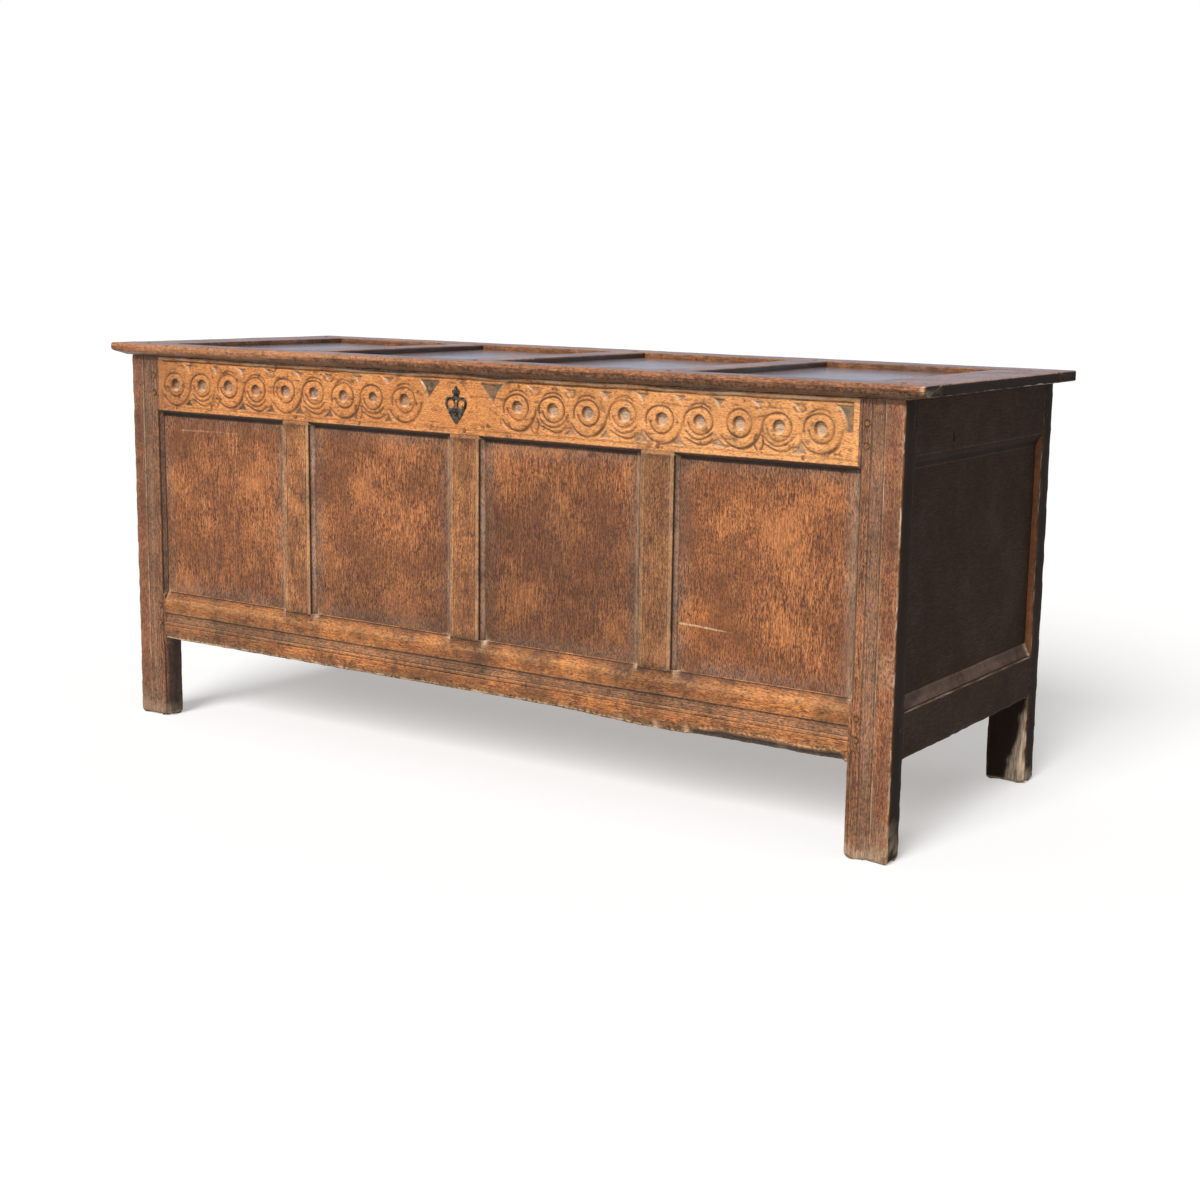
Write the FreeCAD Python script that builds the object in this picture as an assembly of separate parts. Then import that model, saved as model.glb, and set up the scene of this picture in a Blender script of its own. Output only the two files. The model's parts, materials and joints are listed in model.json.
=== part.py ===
import FreeCAD, Part
import math
import os

# A joined oak coffer: a framed and panelled box on four corner posts, with a carved top rail,
# a framed lid on two iron strap hinges and an iron chest lock.
# X runs along the front, Y towards the back and Z up, in millimetres.
# The origin is on the floor, under the middle of the whole chest.

# Carcase
carcase_width = 1460.0
carcase_depth = 532.0
post_height = 631.0
post_width = 66.0
post_thickness = 36.0
rail_thickness = 28.0
rail_clear_height = 141.0
front_bottom_rail_height = 83.0
front_top_rail_height = 97.0
end_bottom_rail_height = 86.0
end_top_rail_height = 96.0
muntin_width = 67.0
bay_count = 4

# Panels and the grooves that hold them
panel_thickness = 9.0
panel_recess = 11.0
panel_tongue = 8.0
groove_room = 1.5
fit_clearance = 0.25

# Mouldings round the front panels, along the end rails, and run along posts and rails
mould_width = 6.0
mould_depth = 10.0
end_mould_width = 20.0
end_mould_depth = 10.5
channel_depth = 2.0
post_channel_inset = 17.0
post_channel_width = 22.0
rail_channel_inset = 23.0
rail_channel_width = 23.0

# Mortise and tenon joints with draw pegs
tenon_thickness = 10.0
tenon_setback = 9.5
tenon_shoulder = 14.0
front_tenon_length = 38.0
end_tenon_length = 26.0
muntin_tenon_length = 30.0
muntin_tenon_width = 40.0
peg_radius = 3.5
peg_sides = 8
peg_length = 25.0
peg_inset = 12.0
peg_spacing = 30.0
peg_clearance = 0.1
peg_proud = 0.5

# Guilloche carved on the front top rail
circles_per_side = 9
circle_pitch = 63.2
guilloche_left_inset = 42.0
guilloche_right_inset = 55.0
ring_outer_radius = 24.0
ring_width = 2.5
eye_radius = 8.0
carving_depth = 2.0

# Floor of the chest
floor_board_count = 4
floor_thickness = 12.0
floor_height_in_rail = 15.0
floor_tongue = 7.5
floor_gap = 0.8

# Lid
lid_thickness = 20.0
lid_front_overhang = 16.0
lid_end_overhang = 35.0
lid_front_rail_width = 54.0
lid_back_rail_width = 75.0
lid_muntin_width = 55.0
lid_panel_thickness = 8.0
lid_panel_recess = 8.5
lid_tenon_thickness = 7.0
lid_tenon_length = 30.0
lid_tenon_inset = 12.0
lid_rest_gap = 0.3
lid_nose_radius = 8.0
lid_lip_radius = 4.0
lid_peg_length = 16.0

# Hinges
strap_width = 30.0
strap_thickness = 3.0
strap_length = 250.0
hinge_plate_height = 62.0
knuckle_radius = 6.0
knuckle_width = 12.0
knuckle_gap = 0.3
hinge_gap = 0.5
pin_radius = 2.5
pin_clearance = 0.08

# Nails
nail_shank_radius = 1.4
nail_shank_length = 13.0
nail_head_radius = 3.6
nail_head_height = 1.4
nail_clearance = 0.05
nail_edge_inset = 12.0

# Lock
lock_x = -15.0
keyhole_drop = 35.0
keyhole_radius = 3.6
keyhole_slot_width = 5.0
keyhole_slot_drop = 12.0
case_half_width = 45.0
case_drop = 6.0
case_height = 63.0
case_depth = 18.0
case_wall = 2.0
ear_width = 14.0
ear_height = 36.0
bolt_length = 52.0
bolt_height = 10.0
bolt_thickness = 6.0
bolt_start = -33.0
bolt_drop = 18.0
bolt_setback = 5.0
bolt_clearance = 0.35
guide_width = 6.0
guide_starts = (-28.0, 2.0)
guide_margin = 4.0
spring_thickness = 1.1
spring_foot = 6.0
spring_start = -22.0
spring_span = 22.0
staple_x = 23.0
staple_thickness = 4.0
staple_width = 11.0
staple_rim = 4.0
staple_eye_clearance = 1.5
staple_plate_width = 22.0
staple_plate_length = 24.0
staple_plate_thickness = 2.0
staple_slot_room = 2.0

# Lock plate on the front: a pierced shield with a trefoil top and a pointed base
plate_thickness = 2.0
plate_crown_rise = 22.5
plate_height = 57.0
plate_half_width = 20.0
plate_lobe_radius = 9.5
plate_pierce_radius = 3.0
plate_shoulder_share = 0.36
plate_waist_share = 0.55
plate_pierce_share = 0.6
tack_shank_length = 8.0
tack_head_radius = 2.2

# Every cut runs this far past the face that it opens
overrun = 5.0

# Places worked out from the sizes
half_width = carcase_width / 2
post_inner = half_width - post_width
total_depth = lid_front_overhang + carcase_depth + hinge_gap + 2 * knuckle_radius
front_y = lid_front_overhang - total_depth / 2
back_y = front_y + carcase_depth
rail_bottom_z = rail_clear_height
lid_under = post_height + lid_rest_gap
lid_top = lid_under + lid_thickness
opening_low = rail_bottom_z + front_bottom_rail_height
opening_high = post_height - front_top_rail_height
bay_width = (2 * post_inner - (bay_count - 1) * muntin_width) / bay_count
bay_pitch = bay_width + muntin_width
muntin_centres = [(i - bay_count / 2) * bay_pitch for i in range(1, bay_count)]
bay_centres = [(i - (bay_count - 1) / 2) * bay_pitch for i in range(bay_count)]
hinge_y = back_y + hinge_gap + knuckle_radius
hinge_z = lid_under
case_y = front_y + rail_thickness
case_top_z = post_height - case_drop
case_bottom_z = case_top_z - case_height
bolt_z = case_top_z - bolt_drop
keyhole_z = case_top_z - keyhole_drop
plate_top_z = keyhole_z + plate_crown_rise
plate_base_z = plate_top_z - plate_height
x_axis = FreeCAD.Vector(1, 0, 0)
y_axis = FreeCAD.Vector(0, 1, 0)
z_axis = FreeCAD.Vector(0, 0, 1)

pieces = {}
cutters = {}


def block(x0, x1, y0, y1, z0, z1):
    corner = FreeCAD.Vector(min(x0, x1), min(y0, y1), min(z0, z1))
    return Part.makeBox(abs(x1 - x0), abs(y1 - y0), abs(z1 - z0), corner)


# A block grown on every side, to cut the socket for what fits in it.
def socket(x0, x1, y0, y1, z0, z1, room_x, room_y, room_z):
    return block(min(x0, x1) - room_x, max(x0, x1) + room_x,
                 min(y0, y1) - room_y, max(y0, y1) + room_y,
                 min(z0, z1) - room_z, max(z0, z1) + room_z)


def add(name, shape):
    pieces[name] = shape
    cutters.setdefault(name, [])


def carve(names, tool):
    for name in names:
        cutters.setdefault(name, []).append(tool)


# A prism with a many-sided section, from a start point along a direction.
def faceted_bar(start, direction, radius, length):
    placed = FreeCAD.Placement(start, FreeCAD.Rotation(z_axis, direction))
    points = []
    for i in range(peg_sides + 1):
        turn = 2 * math.pi * (i + 0.5) / peg_sides
        points.append(FreeCAD.Vector(radius * math.cos(turn), radius * math.sin(turn), 0))
    outline = Part.Face(Part.makePolygon(points))
    bar = outline.extrude(z_axis * length)
    bar.Placement = placed
    return bar


# A draw peg driven in from a face, with its hole through every piece that it holds.
def drive_peg(pegs, start, direction, length, holds):
    outside = start - direction * peg_proud
    pegs.append(faceted_bar(outside, direction, peg_radius, length + peg_proud))
    hole_start = start - direction * overrun
    hole_length = length + overrun + peg_clearance
    carve(holds, faceted_bar(hole_start, direction, peg_radius + peg_clearance, hole_length))


# A nail with a flat head standing on a face, with its hole through every piece that it holds.
def drive_nail(nails, face, direction, shank_length, head_radius, holds):
    head = Part.makeCylinder(head_radius, nail_head_height, face - direction * nail_head_height, direction)
    shank = Part.makeCylinder(nail_shank_radius, shank_length, face, direction)
    nails.append(head.fuse(shank).removeSplitter())
    hole_radius = nail_shank_radius + nail_clearance
    carve(holds, Part.makeCylinder(hole_radius, shank_length + nail_clearance, face, direction))


# A tapered cutter that leaves a sloped moulding, mitred at its corners, round a panel opening.
def moulding_cutter(face_y, inward, x0, x1, z0, z1):
    wires = []
    for depth in (-overrun, mould_depth):
        spread = mould_width * (mould_depth - depth) / mould_depth
        y = face_y + inward * depth
        corners = [(x0 - spread, z0 - spread), (x1 + spread, z0 - spread),
                   (x1 + spread, z1 + spread), (x0 - spread, z1 + spread)]
        points = [FreeCAD.Vector(x, y, z) for x, z in corners]
        wires.append(Part.makePolygon(points + points[:1]))
    return Part.makeLoft(wires, True, True)


carcase_pegs = []
lid_pegs = []
carcase_nails = []
lid_nails = []


# Four corner posts, which run on down as legs.
def make_posts():
    for end, side in (("left", -1), ("right", 1)):
        for row, face_y, inward in (("front", front_y, 1), ("back", back_y, -1)):
            name = f"{row}_{end}_post"
            post = block(side * post_inner, side * half_width,
                         face_y, face_y + inward * post_thickness, 0, post_height)
            add(name, post)
    for end, side in (("left", -1), ("right", 1)):
        near = post_inner + post_channel_inset
        channel = block(side * near, side * (near + post_channel_width),
                        front_y - overrun, front_y + channel_depth, -overrun, post_height + overrun)
        carve([f"front_{end}_post"], channel)


# Front or back frame: two long rails, the muntins between them and the panels in their grooves.
def make_long_frame(row, face_y, inward, moulded):
    def depth(distance):
        return face_y + inward * distance

    posts = {-1: f"{row}_left_post", 1: f"{row}_right_post"}
    tenon_front = depth(tenon_setback)
    tenon_back = depth(tenon_setback + tenon_thickness)
    rails = ((f"{row}_top_rail", opening_high, post_height),
             (f"{row}_bottom_rail", rail_bottom_z, opening_low))
    rail_names = [rail[0] for rail in rails]
    muntin_names = [f"{row}_muntin_{i + 1}" for i in range(len(muntin_centres))]

    for name, low, high in rails:
        rail = block(-post_inner, post_inner, face_y, depth(rail_thickness), low, high)
        tenon_low = low + tenon_shoulder
        tenon_high = high - tenon_shoulder
        middle = (low + high) / 2
        for side in (-1, 1):
            tip = side * (post_inner + front_tenon_length)
            spot = (side * post_inner, tip, tenon_front, tenon_back, tenon_low, tenon_high)
            rail = rail.fuse(block(*spot))
            carve([posts[side]], socket(*spot, fit_clearance, fit_clearance, fit_clearance))
            for lift in (-0.5, 0.5):
                start = FreeCAD.Vector(side * (post_inner + peg_inset), face_y, middle + lift * peg_spacing)
                drive_peg(carcase_pegs, start, y_axis * inward, peg_length, [posts[side], name])
        add(name, rail.removeSplitter())

    for name, centre in zip(muntin_names, muntin_centres):
        muntin = block(centre - muntin_width / 2, centre + muntin_width / 2,
                       face_y, depth(rail_thickness), opening_low, opening_high)
        left = centre - muntin_tenon_width / 2
        right = centre + muntin_tenon_width / 2
        for rail_name, edge, way in ((rail_names[0], opening_high, 1), (rail_names[1], opening_low, -1)):
            spot = (left, right, tenon_front, tenon_back, edge, edge + way * muntin_tenon_length)
            muntin = muntin.fuse(block(*spot))
            carve([rail_name], socket(*spot, fit_clearance, fit_clearance, fit_clearance))
            start = FreeCAD.Vector(centre, face_y, edge + way * peg_inset)
            drive_peg(carcase_pegs, start, y_axis * inward, peg_length, [rail_name, name])
        add(name, muntin.removeSplitter())

    frame_names = rail_names + muntin_names + list(posts.values())
    for i, centre in enumerate(bay_centres):
        left = centre - bay_width / 2
        right = centre + bay_width / 2
        spot = (left - panel_tongue, right + panel_tongue,
                depth(panel_recess), depth(panel_recess + panel_thickness),
                opening_low - panel_tongue, opening_high + panel_tongue)
        add(f"{row}_panel_{i + 1}", block(*spot))
        carve(frame_names, socket(*spot, groove_room, fit_clearance, groove_room))
        if moulded:
            carve(frame_names, moulding_cutter(face_y, inward, left, right, opening_low, opening_high))


# The run moulding along the front bottom rail, and the carved circles on the front top rail.
def decorate_front_rails():
    channel_low = rail_bottom_z + rail_channel_inset
    channel = block(-post_inner - overrun, post_inner + overrun, front_y - overrun, front_y + channel_depth,
                    channel_low, channel_low + rail_channel_width)
    carve(["front_bottom_rail"], channel)
    middle = (opening_high + mould_width + post_height) / 2
    starts = (guilloche_left_inset - post_inner,
              post_inner - guilloche_right_inset - (circles_per_side - 1) * circle_pitch)
    for start in starts:
        for i in range(circles_per_side):
            centre = FreeCAD.Vector(start + i * circle_pitch, front_y - overrun, middle)
            reach = overrun + carving_depth
            ring = Part.makeCylinder(ring_outer_radius, reach, centre, y_axis)
            core = Part.makeCylinder(ring_outer_radius - ring_width, reach, centre, y_axis)
            carve(["front_top_rail"], ring.cut(core))
            carve(["front_top_rail"], Part.makeCylinder(eye_radius, reach, centre, y_axis))


# Each end has two rails between the posts and one wide panel.
def make_end_frame(end, side):
    def depth(distance):
        return side * (half_width - distance)

    posts = {-1: f"front_{end}_post", 1: f"back_{end}_post"}
    shoulder = {-1: front_y + post_thickness, 1: back_y - post_thickness}
    low_edge = rail_bottom_z + end_bottom_rail_height
    high_edge = post_height - end_top_rail_height
    rails = ((f"{end}_top_rail", high_edge, post_height, 1), (f"{end}_bottom_rail", rail_bottom_z, low_edge, -1))
    for name, low, high, away in rails:
        rail = block(depth(0), depth(rail_thickness), shoulder[-1], shoulder[1], low, high)
        for way in (-1, 1):
            tip = shoulder[way] + way * end_tenon_length
            spot = (depth(tenon_setback), depth(tenon_setback + tenon_thickness), shoulder[way], tip,
                    low + tenon_shoulder, high - tenon_shoulder)
            rail = rail.fuse(block(*spot))
            carve([posts[way]], socket(*spot, fit_clearance, fit_clearance, fit_clearance))
            start = FreeCAD.Vector(depth(0), shoulder[way] + way * peg_inset, (low + high) / 2)
            drive_peg(carcase_pegs, start, x_axis * -side, peg_length, [posts[way], name])
        add(name, rail.removeSplitter())
        edge = low if away > 0 else high
        slope = [(depth(-overrun), edge - away * overrun), (depth(end_mould_depth), edge - away * overrun),
                 (depth(end_mould_depth), edge), (depth(0), edge + away * end_mould_width),
                 (depth(-overrun), edge + away * end_mould_width)]
        points = [FreeCAD.Vector(x, shoulder[-1], z) for x, z in slope]
        wedge = Part.Face(Part.makePolygon(points + points[:1]))
        carve([name], wedge.extrude(y_axis * (shoulder[1] - shoulder[-1])))
    spot = (depth(panel_recess), depth(panel_recess + panel_thickness),
            shoulder[-1] - panel_tongue, shoulder[1] + panel_tongue,
            low_edge - panel_tongue, high_edge + panel_tongue)
    add(f"{end}_panel", block(*spot))
    carve([rails[0][0], rails[1][0]] + list(posts.values()),
          socket(*spot, fit_clearance, groove_room, groove_room))


# Floor boards lie front to back, their ends held in grooves in the long bottom rails.
def make_floor():
    low = rail_bottom_z + floor_height_in_rail
    high = low + floor_thickness
    near = front_y + rail_thickness - floor_tongue
    far = back_y - rail_thickness + floor_tongue
    reach = half_width - rail_thickness - floor_gap
    pitch = 2 * reach / floor_board_count
    for i in range(floor_board_count):
        left = -reach + i * pitch + floor_gap / 2
        right = -reach + (i + 1) * pitch - floor_gap / 2
        name = f"floor_board_{i + 1}"
        add(name, block(left, right, near, far, low, high))
        for side in (-1, 1):
            for face_y, inward in ((front_y, 1), (back_y, -1)):
                notch = block(side * (post_inner - floor_gap), side * (half_width + overrun),
                              face_y - inward * overrun, face_y + inward * (post_thickness + floor_gap),
                              low - overrun, high + overrun)
                carve([name], notch)
    groove = socket(-post_inner, post_inner, near, far, low, high, overrun, groove_room, fit_clearance)
    carve(["front_bottom_rail", "back_bottom_rail"], groove)


# Lid: rails along the front and back, end rails and muntins between them, and sunk panels.
def make_lid():
    half_lid = half_width + lid_end_overhang
    nose_y = front_y - lid_front_overhang
    inner_front = nose_y + lid_front_rail_width
    inner_back = back_y - lid_back_rail_width
    tenon_low = lid_under + (lid_thickness - lid_tenon_thickness) / 2
    tenon_high = tenon_low + lid_tenon_thickness

    front = block(-half_lid, half_lid, nose_y, inner_front, lid_under, lid_top)
    for level, radius in ((lid_top, lid_nose_radius), (lid_under, lid_lip_radius)):
        edges = [edge for edge in front.Edges
                 if abs(edge.CenterOfMass.y - nose_y) < fit_clearance
                 and abs(edge.CenterOfMass.z - level) < fit_clearance]
        front = front.makeFillet(radius, edges)
    add("lid_front_rail", front)
    add("lid_back_rail", block(-half_lid, half_lid, inner_back, back_y, lid_under, lid_top))

    bars = [("lid_left_end", -half_lid, -post_inner), ("lid_right_end", post_inner, half_lid)]
    for i, centre in enumerate(muntin_centres):
        bars.append((f"lid_muntin_{i + 1}", centre - lid_muntin_width / 2, centre + lid_muntin_width / 2))
    for name, left, right in bars:
        bar = block(left, right, inner_front, inner_back, lid_under, lid_top)
        for rail_name, edge, way in (("lid_front_rail", inner_front, -1), ("lid_back_rail", inner_back, 1)):
            spot = (left + lid_tenon_inset, right - lid_tenon_inset,
                    edge, edge + way * lid_tenon_length, tenon_low, tenon_high)
            bar = bar.fuse(block(*spot))
            carve([rail_name], socket(*spot, fit_clearance, fit_clearance, fit_clearance))
            start = FreeCAD.Vector((left + right) / 2, edge + way * peg_inset, lid_top)
            drive_peg(lid_pegs, start, z_axis * -1, lid_peg_length, [rail_name, name])
        add(name, bar.removeSplitter())

    bounds = sorted([-post_inner, post_inner]
                    + [centre + way * lid_muntin_width / 2 for centre in muntin_centres for way in (-1, 1)])
    panel_high = lid_top - lid_panel_recess
    holders = ["lid_front_rail", "lid_back_rail"] + [bar[0] for bar in bars]
    for i in range(bay_count):
        spot = (bounds[2 * i] - panel_tongue, bounds[2 * i + 1] + panel_tongue,
                inner_front - panel_tongue, inner_back + panel_tongue,
                panel_high - lid_panel_thickness, panel_high)
        add(f"lid_panel_{i + 1}", block(*spot))
        room = fit_clearance
        carve(holders, socket(*spot, room, room, room))


# A strap hinge: the strap is let into the lid, the plate is nailed to the back, and a pin joins them.
def make_hinge(end, centre, muntin_name):
    half_strap = strap_width / 2
    half_knuckle = knuckle_width / 2
    axis_start = FreeCAD.Vector(centre - half_strap, hinge_y, hinge_z)
    pin_hole = Part.makeCylinder(pin_radius + pin_clearance, strap_width, axis_start, x_axis)
    strap_front = back_y - strap_length

    strap = block(centre - half_strap, centre + half_strap, strap_front, back_y,
                  lid_under, lid_under + strap_thickness)
    carve(["lid_back_rail", muntin_name],
          socket(centre - half_strap, centre + half_strap, strap_front, back_y + overrun,
                 lid_under - overrun, lid_under + strap_thickness, fit_clearance, fit_clearance, 0))
    tail = block(centre - half_knuckle, centre + half_knuckle, back_y, hinge_y,
                 lid_under, lid_under + strap_thickness)
    barrel_start = FreeCAD.Vector(centre - half_knuckle, hinge_y, hinge_z)
    barrel = Part.makeCylinder(knuckle_radius, knuckle_width, barrel_start, x_axis)
    strap_name = f"{end}_hinge_strap"
    add(strap_name, strap.fuse([tail, barrel]).cut(pin_hole).removeSplitter())

    plate_top = hinge_z - knuckle_radius - hinge_gap
    plate = block(centre - half_strap, centre + half_strap, back_y, back_y + strap_thickness,
                  plate_top - hinge_plate_height, plate_top)
    for side in (-1, 1):
        near = half_knuckle + knuckle_gap
        web = block(centre + side * near, centre + side * half_strap, back_y, back_y + strap_thickness,
                    plate_top, hinge_z)
        start = FreeCAD.Vector(centre + min(side * near, side * half_strap), hinge_y, hinge_z)
        barrel = Part.makeCylinder(knuckle_radius, half_strap - near, start, x_axis)
        plate = plate.fuse([web, barrel])
    plate_name = f"{end}_hinge_plate"
    add(plate_name, plate.cut(pin_hole).removeSplitter())
    add(f"{end}_hinge_pin", Part.makeCylinder(pin_radius, strap_width, axis_start, x_axis))

    first_nail = rail_thickness + nail_edge_inset
    reach = strap_length - first_nail - nail_edge_inset
    for i in range(3):
        place = FreeCAD.Vector(centre, back_y - first_nail - reach * i / 2, lid_under)
        drive_nail(lid_nails, place, z_axis, nail_shank_length + strap_thickness,
                   nail_head_radius, [strap_name, "lid_back_rail", muntin_name])
        drop = nail_edge_inset + (hinge_plate_height - 2 * nail_edge_inset) * i / 2
        place = FreeCAD.Vector(centre, back_y + strap_thickness, plate_top - drop)
        drive_nail(carcase_nails, place, y_axis * -1, nail_shank_length + strap_thickness,
                   nail_head_radius, [plate_name, "back_top_rail"])


# The hole for the key: a round top with a slot below it.
def keyhole(y0, y1):
    round_top = Part.makeCylinder(keyhole_radius, y1 - y0, FreeCAD.Vector(lock_x, y0, keyhole_z), y_axis)
    slot = block(lock_x - keyhole_slot_width / 2, lock_x + keyhole_slot_width / 2,
                 y0, y1, keyhole_z - keyhole_slot_drop, keyhole_z)
    return round_top.fuse(slot)


# Lock: an iron case inside the front top rail, its sliding bolt, a leaf spring and the lid's staple.
def make_lock():
    inside_y = case_y + case_depth
    left = lock_x - case_half_width
    right = lock_x + case_half_width
    case = block(left, right, case_y, inside_y, case_bottom_z, case_top_z)
    hollow = block(left + case_wall, right - case_wall, case_y - overrun, inside_y - case_wall,
                   case_bottom_z + case_wall, case_top_z - case_wall)
    case = case.cut(hollow)
    bolt_y = case_y + bolt_setback
    bolt_left = lock_x + bolt_start
    for start in guide_starts:
        guide = block(lock_x + start, lock_x + start + guide_width, bolt_y - guide_margin, inside_y - case_wall,
                      bolt_z - guide_margin, bolt_z + bolt_height + guide_margin)
        case = case.fuse(guide)
    run = block(left + case_wall, right - case_wall, bolt_y - bolt_clearance,
                bolt_y + bolt_thickness + bolt_clearance, bolt_z - bolt_clearance,
                bolt_z + bolt_height + bolt_clearance)
    case = case.cut(run)
    ear_middle = (case_bottom_z + case_top_z) / 2
    for side in (-1, 1):
        edge = lock_x + side * case_half_width
        ear = block(edge, edge + side * ear_width, case_y, case_y + case_wall,
                    ear_middle - ear_height / 2, ear_middle + ear_height / 2)
        case = case.fuse(ear)
        for lift in (-1, 1):
            place = FreeCAD.Vector(edge + side * ear_width / 2, case_y + case_wall,
                                   ear_middle + lift * (ear_height / 2 - nail_head_radius * 2))
            drive_nail(carcase_nails, place, y_axis * -1, nail_shank_length, nail_head_radius,
                       ["lock_case", "front_top_rail"])
    add("lock_case", case.removeSplitter())
    add("lock_bolt", block(bolt_left, bolt_left + bolt_length, bolt_y, bolt_y + bolt_thickness,
                           bolt_z, bolt_z + bolt_height))

    spring_top = case_top_z - case_wall
    tip_low = bolt_z + bolt_height + bolt_clearance
    start = lock_x + spring_start
    bend = start + spring_span
    outline = [(bend + spring_foot, spring_top), (bend, spring_top), (start, tip_low + spring_thickness),
               (start, tip_low), (bend, spring_top - spring_thickness),
               (bend + spring_foot, spring_top - spring_thickness)]
    points = [FreeCAD.Vector(x, bolt_y, z) for x, z in outline]
    leaf = Part.Face(Part.makePolygon(points + points[:1]))
    add("lock_spring", leaf.extrude(y_axis * bolt_thickness))
    carve(["lock_case"], block(start - guide_width, bend, bolt_y - bolt_clearance,
                               bolt_y + bolt_thickness + bolt_clearance, tip_low - overrun, spring_top))

    middle_y = bolt_y + bolt_thickness / 2
    hang_x = lock_x + staple_x
    foot = block(hang_x - staple_plate_width / 2, hang_x + staple_plate_width / 2,
                 middle_y - staple_plate_length / 2, middle_y + staple_plate_length / 2,
                 lid_under - staple_plate_thickness, lid_under)
    hang = block(hang_x - staple_thickness / 2, hang_x + staple_thickness / 2,
                 middle_y - staple_width / 2, middle_y + staple_width / 2,
                 bolt_z - staple_eye_clearance - staple_rim, lid_under)
    eye = socket(hang_x - staple_thickness, hang_x + staple_thickness, bolt_y, bolt_y + bolt_thickness,
                 bolt_z, bolt_z + bolt_height, 0, staple_eye_clearance, staple_eye_clearance)
    add("lid_staple", foot.fuse(hang).cut(eye).removeSplitter())
    carve(["lock_case"], socket(hang_x - staple_thickness / 2, hang_x + staple_thickness / 2,
                                middle_y - staple_width / 2, middle_y + staple_width / 2,
                                case_top_z - case_wall, case_top_z + overrun,
                                staple_slot_room, staple_slot_room, overrun))
    housing = socket(hang_x - staple_plate_width / 2, hang_x + staple_plate_width / 2,
                     middle_y - staple_plate_length / 2, middle_y + staple_plate_length / 2,
                     lid_under - staple_plate_thickness - nail_head_height, post_height + overrun,
                     staple_slot_room, staple_slot_room, fit_clearance)
    carve(["front_top_rail"], housing)
    for way in (-1, 1):
        place = FreeCAD.Vector(hang_x, middle_y + way * (staple_plate_length / 2 - nail_head_radius / 2),
                               lid_under - staple_plate_thickness)
        drive_nail(lid_nails, place, z_axis, nail_shank_length, tack_head_radius,
                   ["lid_staple", "lid_front_rail", "lid_muntin_2"])


# The pierced iron plate round the keyhole.
def make_lock_plate():
    face = front_y - plate_thickness
    shoulder_z = plate_top_z - plate_shoulder_share * plate_height
    waist_z = plate_top_z - plate_waist_share * plate_height
    crown_z = plate_top_z - plate_lobe_radius
    points = [FreeCAD.Vector(lock_x + x, face, z) for x, z in (
        (-plate_lobe_radius, crown_z), (plate_lobe_radius, crown_z), (plate_half_width, shoulder_z),
        (plate_half_width * plate_pierce_share, waist_z), (0, plate_base_z),
        (-plate_half_width * plate_pierce_share, waist_z), (-plate_half_width, shoulder_z))]
    shield = Part.Face(Part.makePolygon(points + points[:1])).extrude(y_axis * plate_thickness)
    crown = FreeCAD.Vector(lock_x, face, crown_z)
    shield = shield.fuse(Part.makeCylinder(plate_lobe_radius, plate_thickness, crown, y_axis))
    for side in (-1, 1):
        place = FreeCAD.Vector(lock_x + side * (plate_half_width - plate_lobe_radius), face, shoulder_z)
        shield = shield.fuse(Part.makeCylinder(plate_lobe_radius, plate_thickness, place, y_axis))
    add("lock_plate", shield.removeSplitter())
    for side in (-1, 1):
        place = FreeCAD.Vector(lock_x + side * plate_half_width * plate_pierce_share, face - overrun, shoulder_z)
        hole = Part.makeCylinder(plate_pierce_radius, plate_thickness + overrun, place, y_axis)
        carve(["lock_plate"], hole)
    crown_tack_z = plate_top_z - tack_head_radius * 2
    base_tack_z = plate_base_z + (waist_z - plate_base_z) * plate_pierce_share
    for z in (crown_tack_z, base_tack_z):
        place = FreeCAD.Vector(lock_x, face, z)
        drive_nail(carcase_nails, place, y_axis, tack_shank_length, tack_head_radius,
                   ["lock_plate", "front_top_rail"])
    carve(["lock_plate", "front_top_rail"], keyhole(face - overrun, case_y + overrun))


make_posts()
make_long_frame("front", front_y, 1, True)
make_long_frame("back", back_y, -1, False)
decorate_front_rails()
for end, side in (("left", -1), ("right", 1)):
    make_end_frame(end, side)
make_floor()
make_lid()
make_hinge("left", muntin_centres[0], "lid_muntin_1")
make_hinge("right", muntin_centres[-1], f"lid_muntin_{len(muntin_centres)}")
make_lock()
make_lock_plate()
add("carcase_pegs", Part.makeCompound(carcase_pegs))
add("lid_pegs", Part.makeCompound(lid_pegs))
add("carcase_nails", Part.makeCompound(carcase_nails))
add("lid_nails", Part.makeCompound(lid_nails))

os.makedirs("parts", exist_ok=True)
for name, shape in pieces.items():
    tools = [tool for tool in cutters[name] if tool.BoundBox.intersect(shape.BoundBox)]
    if tools:
        shape = shape.cut(tools)
    shape.exportStep(f"parts/{name}.step")
    print(name, len(shape.Solids), round(shape.Volume))
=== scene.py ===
import json
import math
import bmesh
import bpy
import numpy as np
from mathutils import Matrix, Vector

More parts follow.
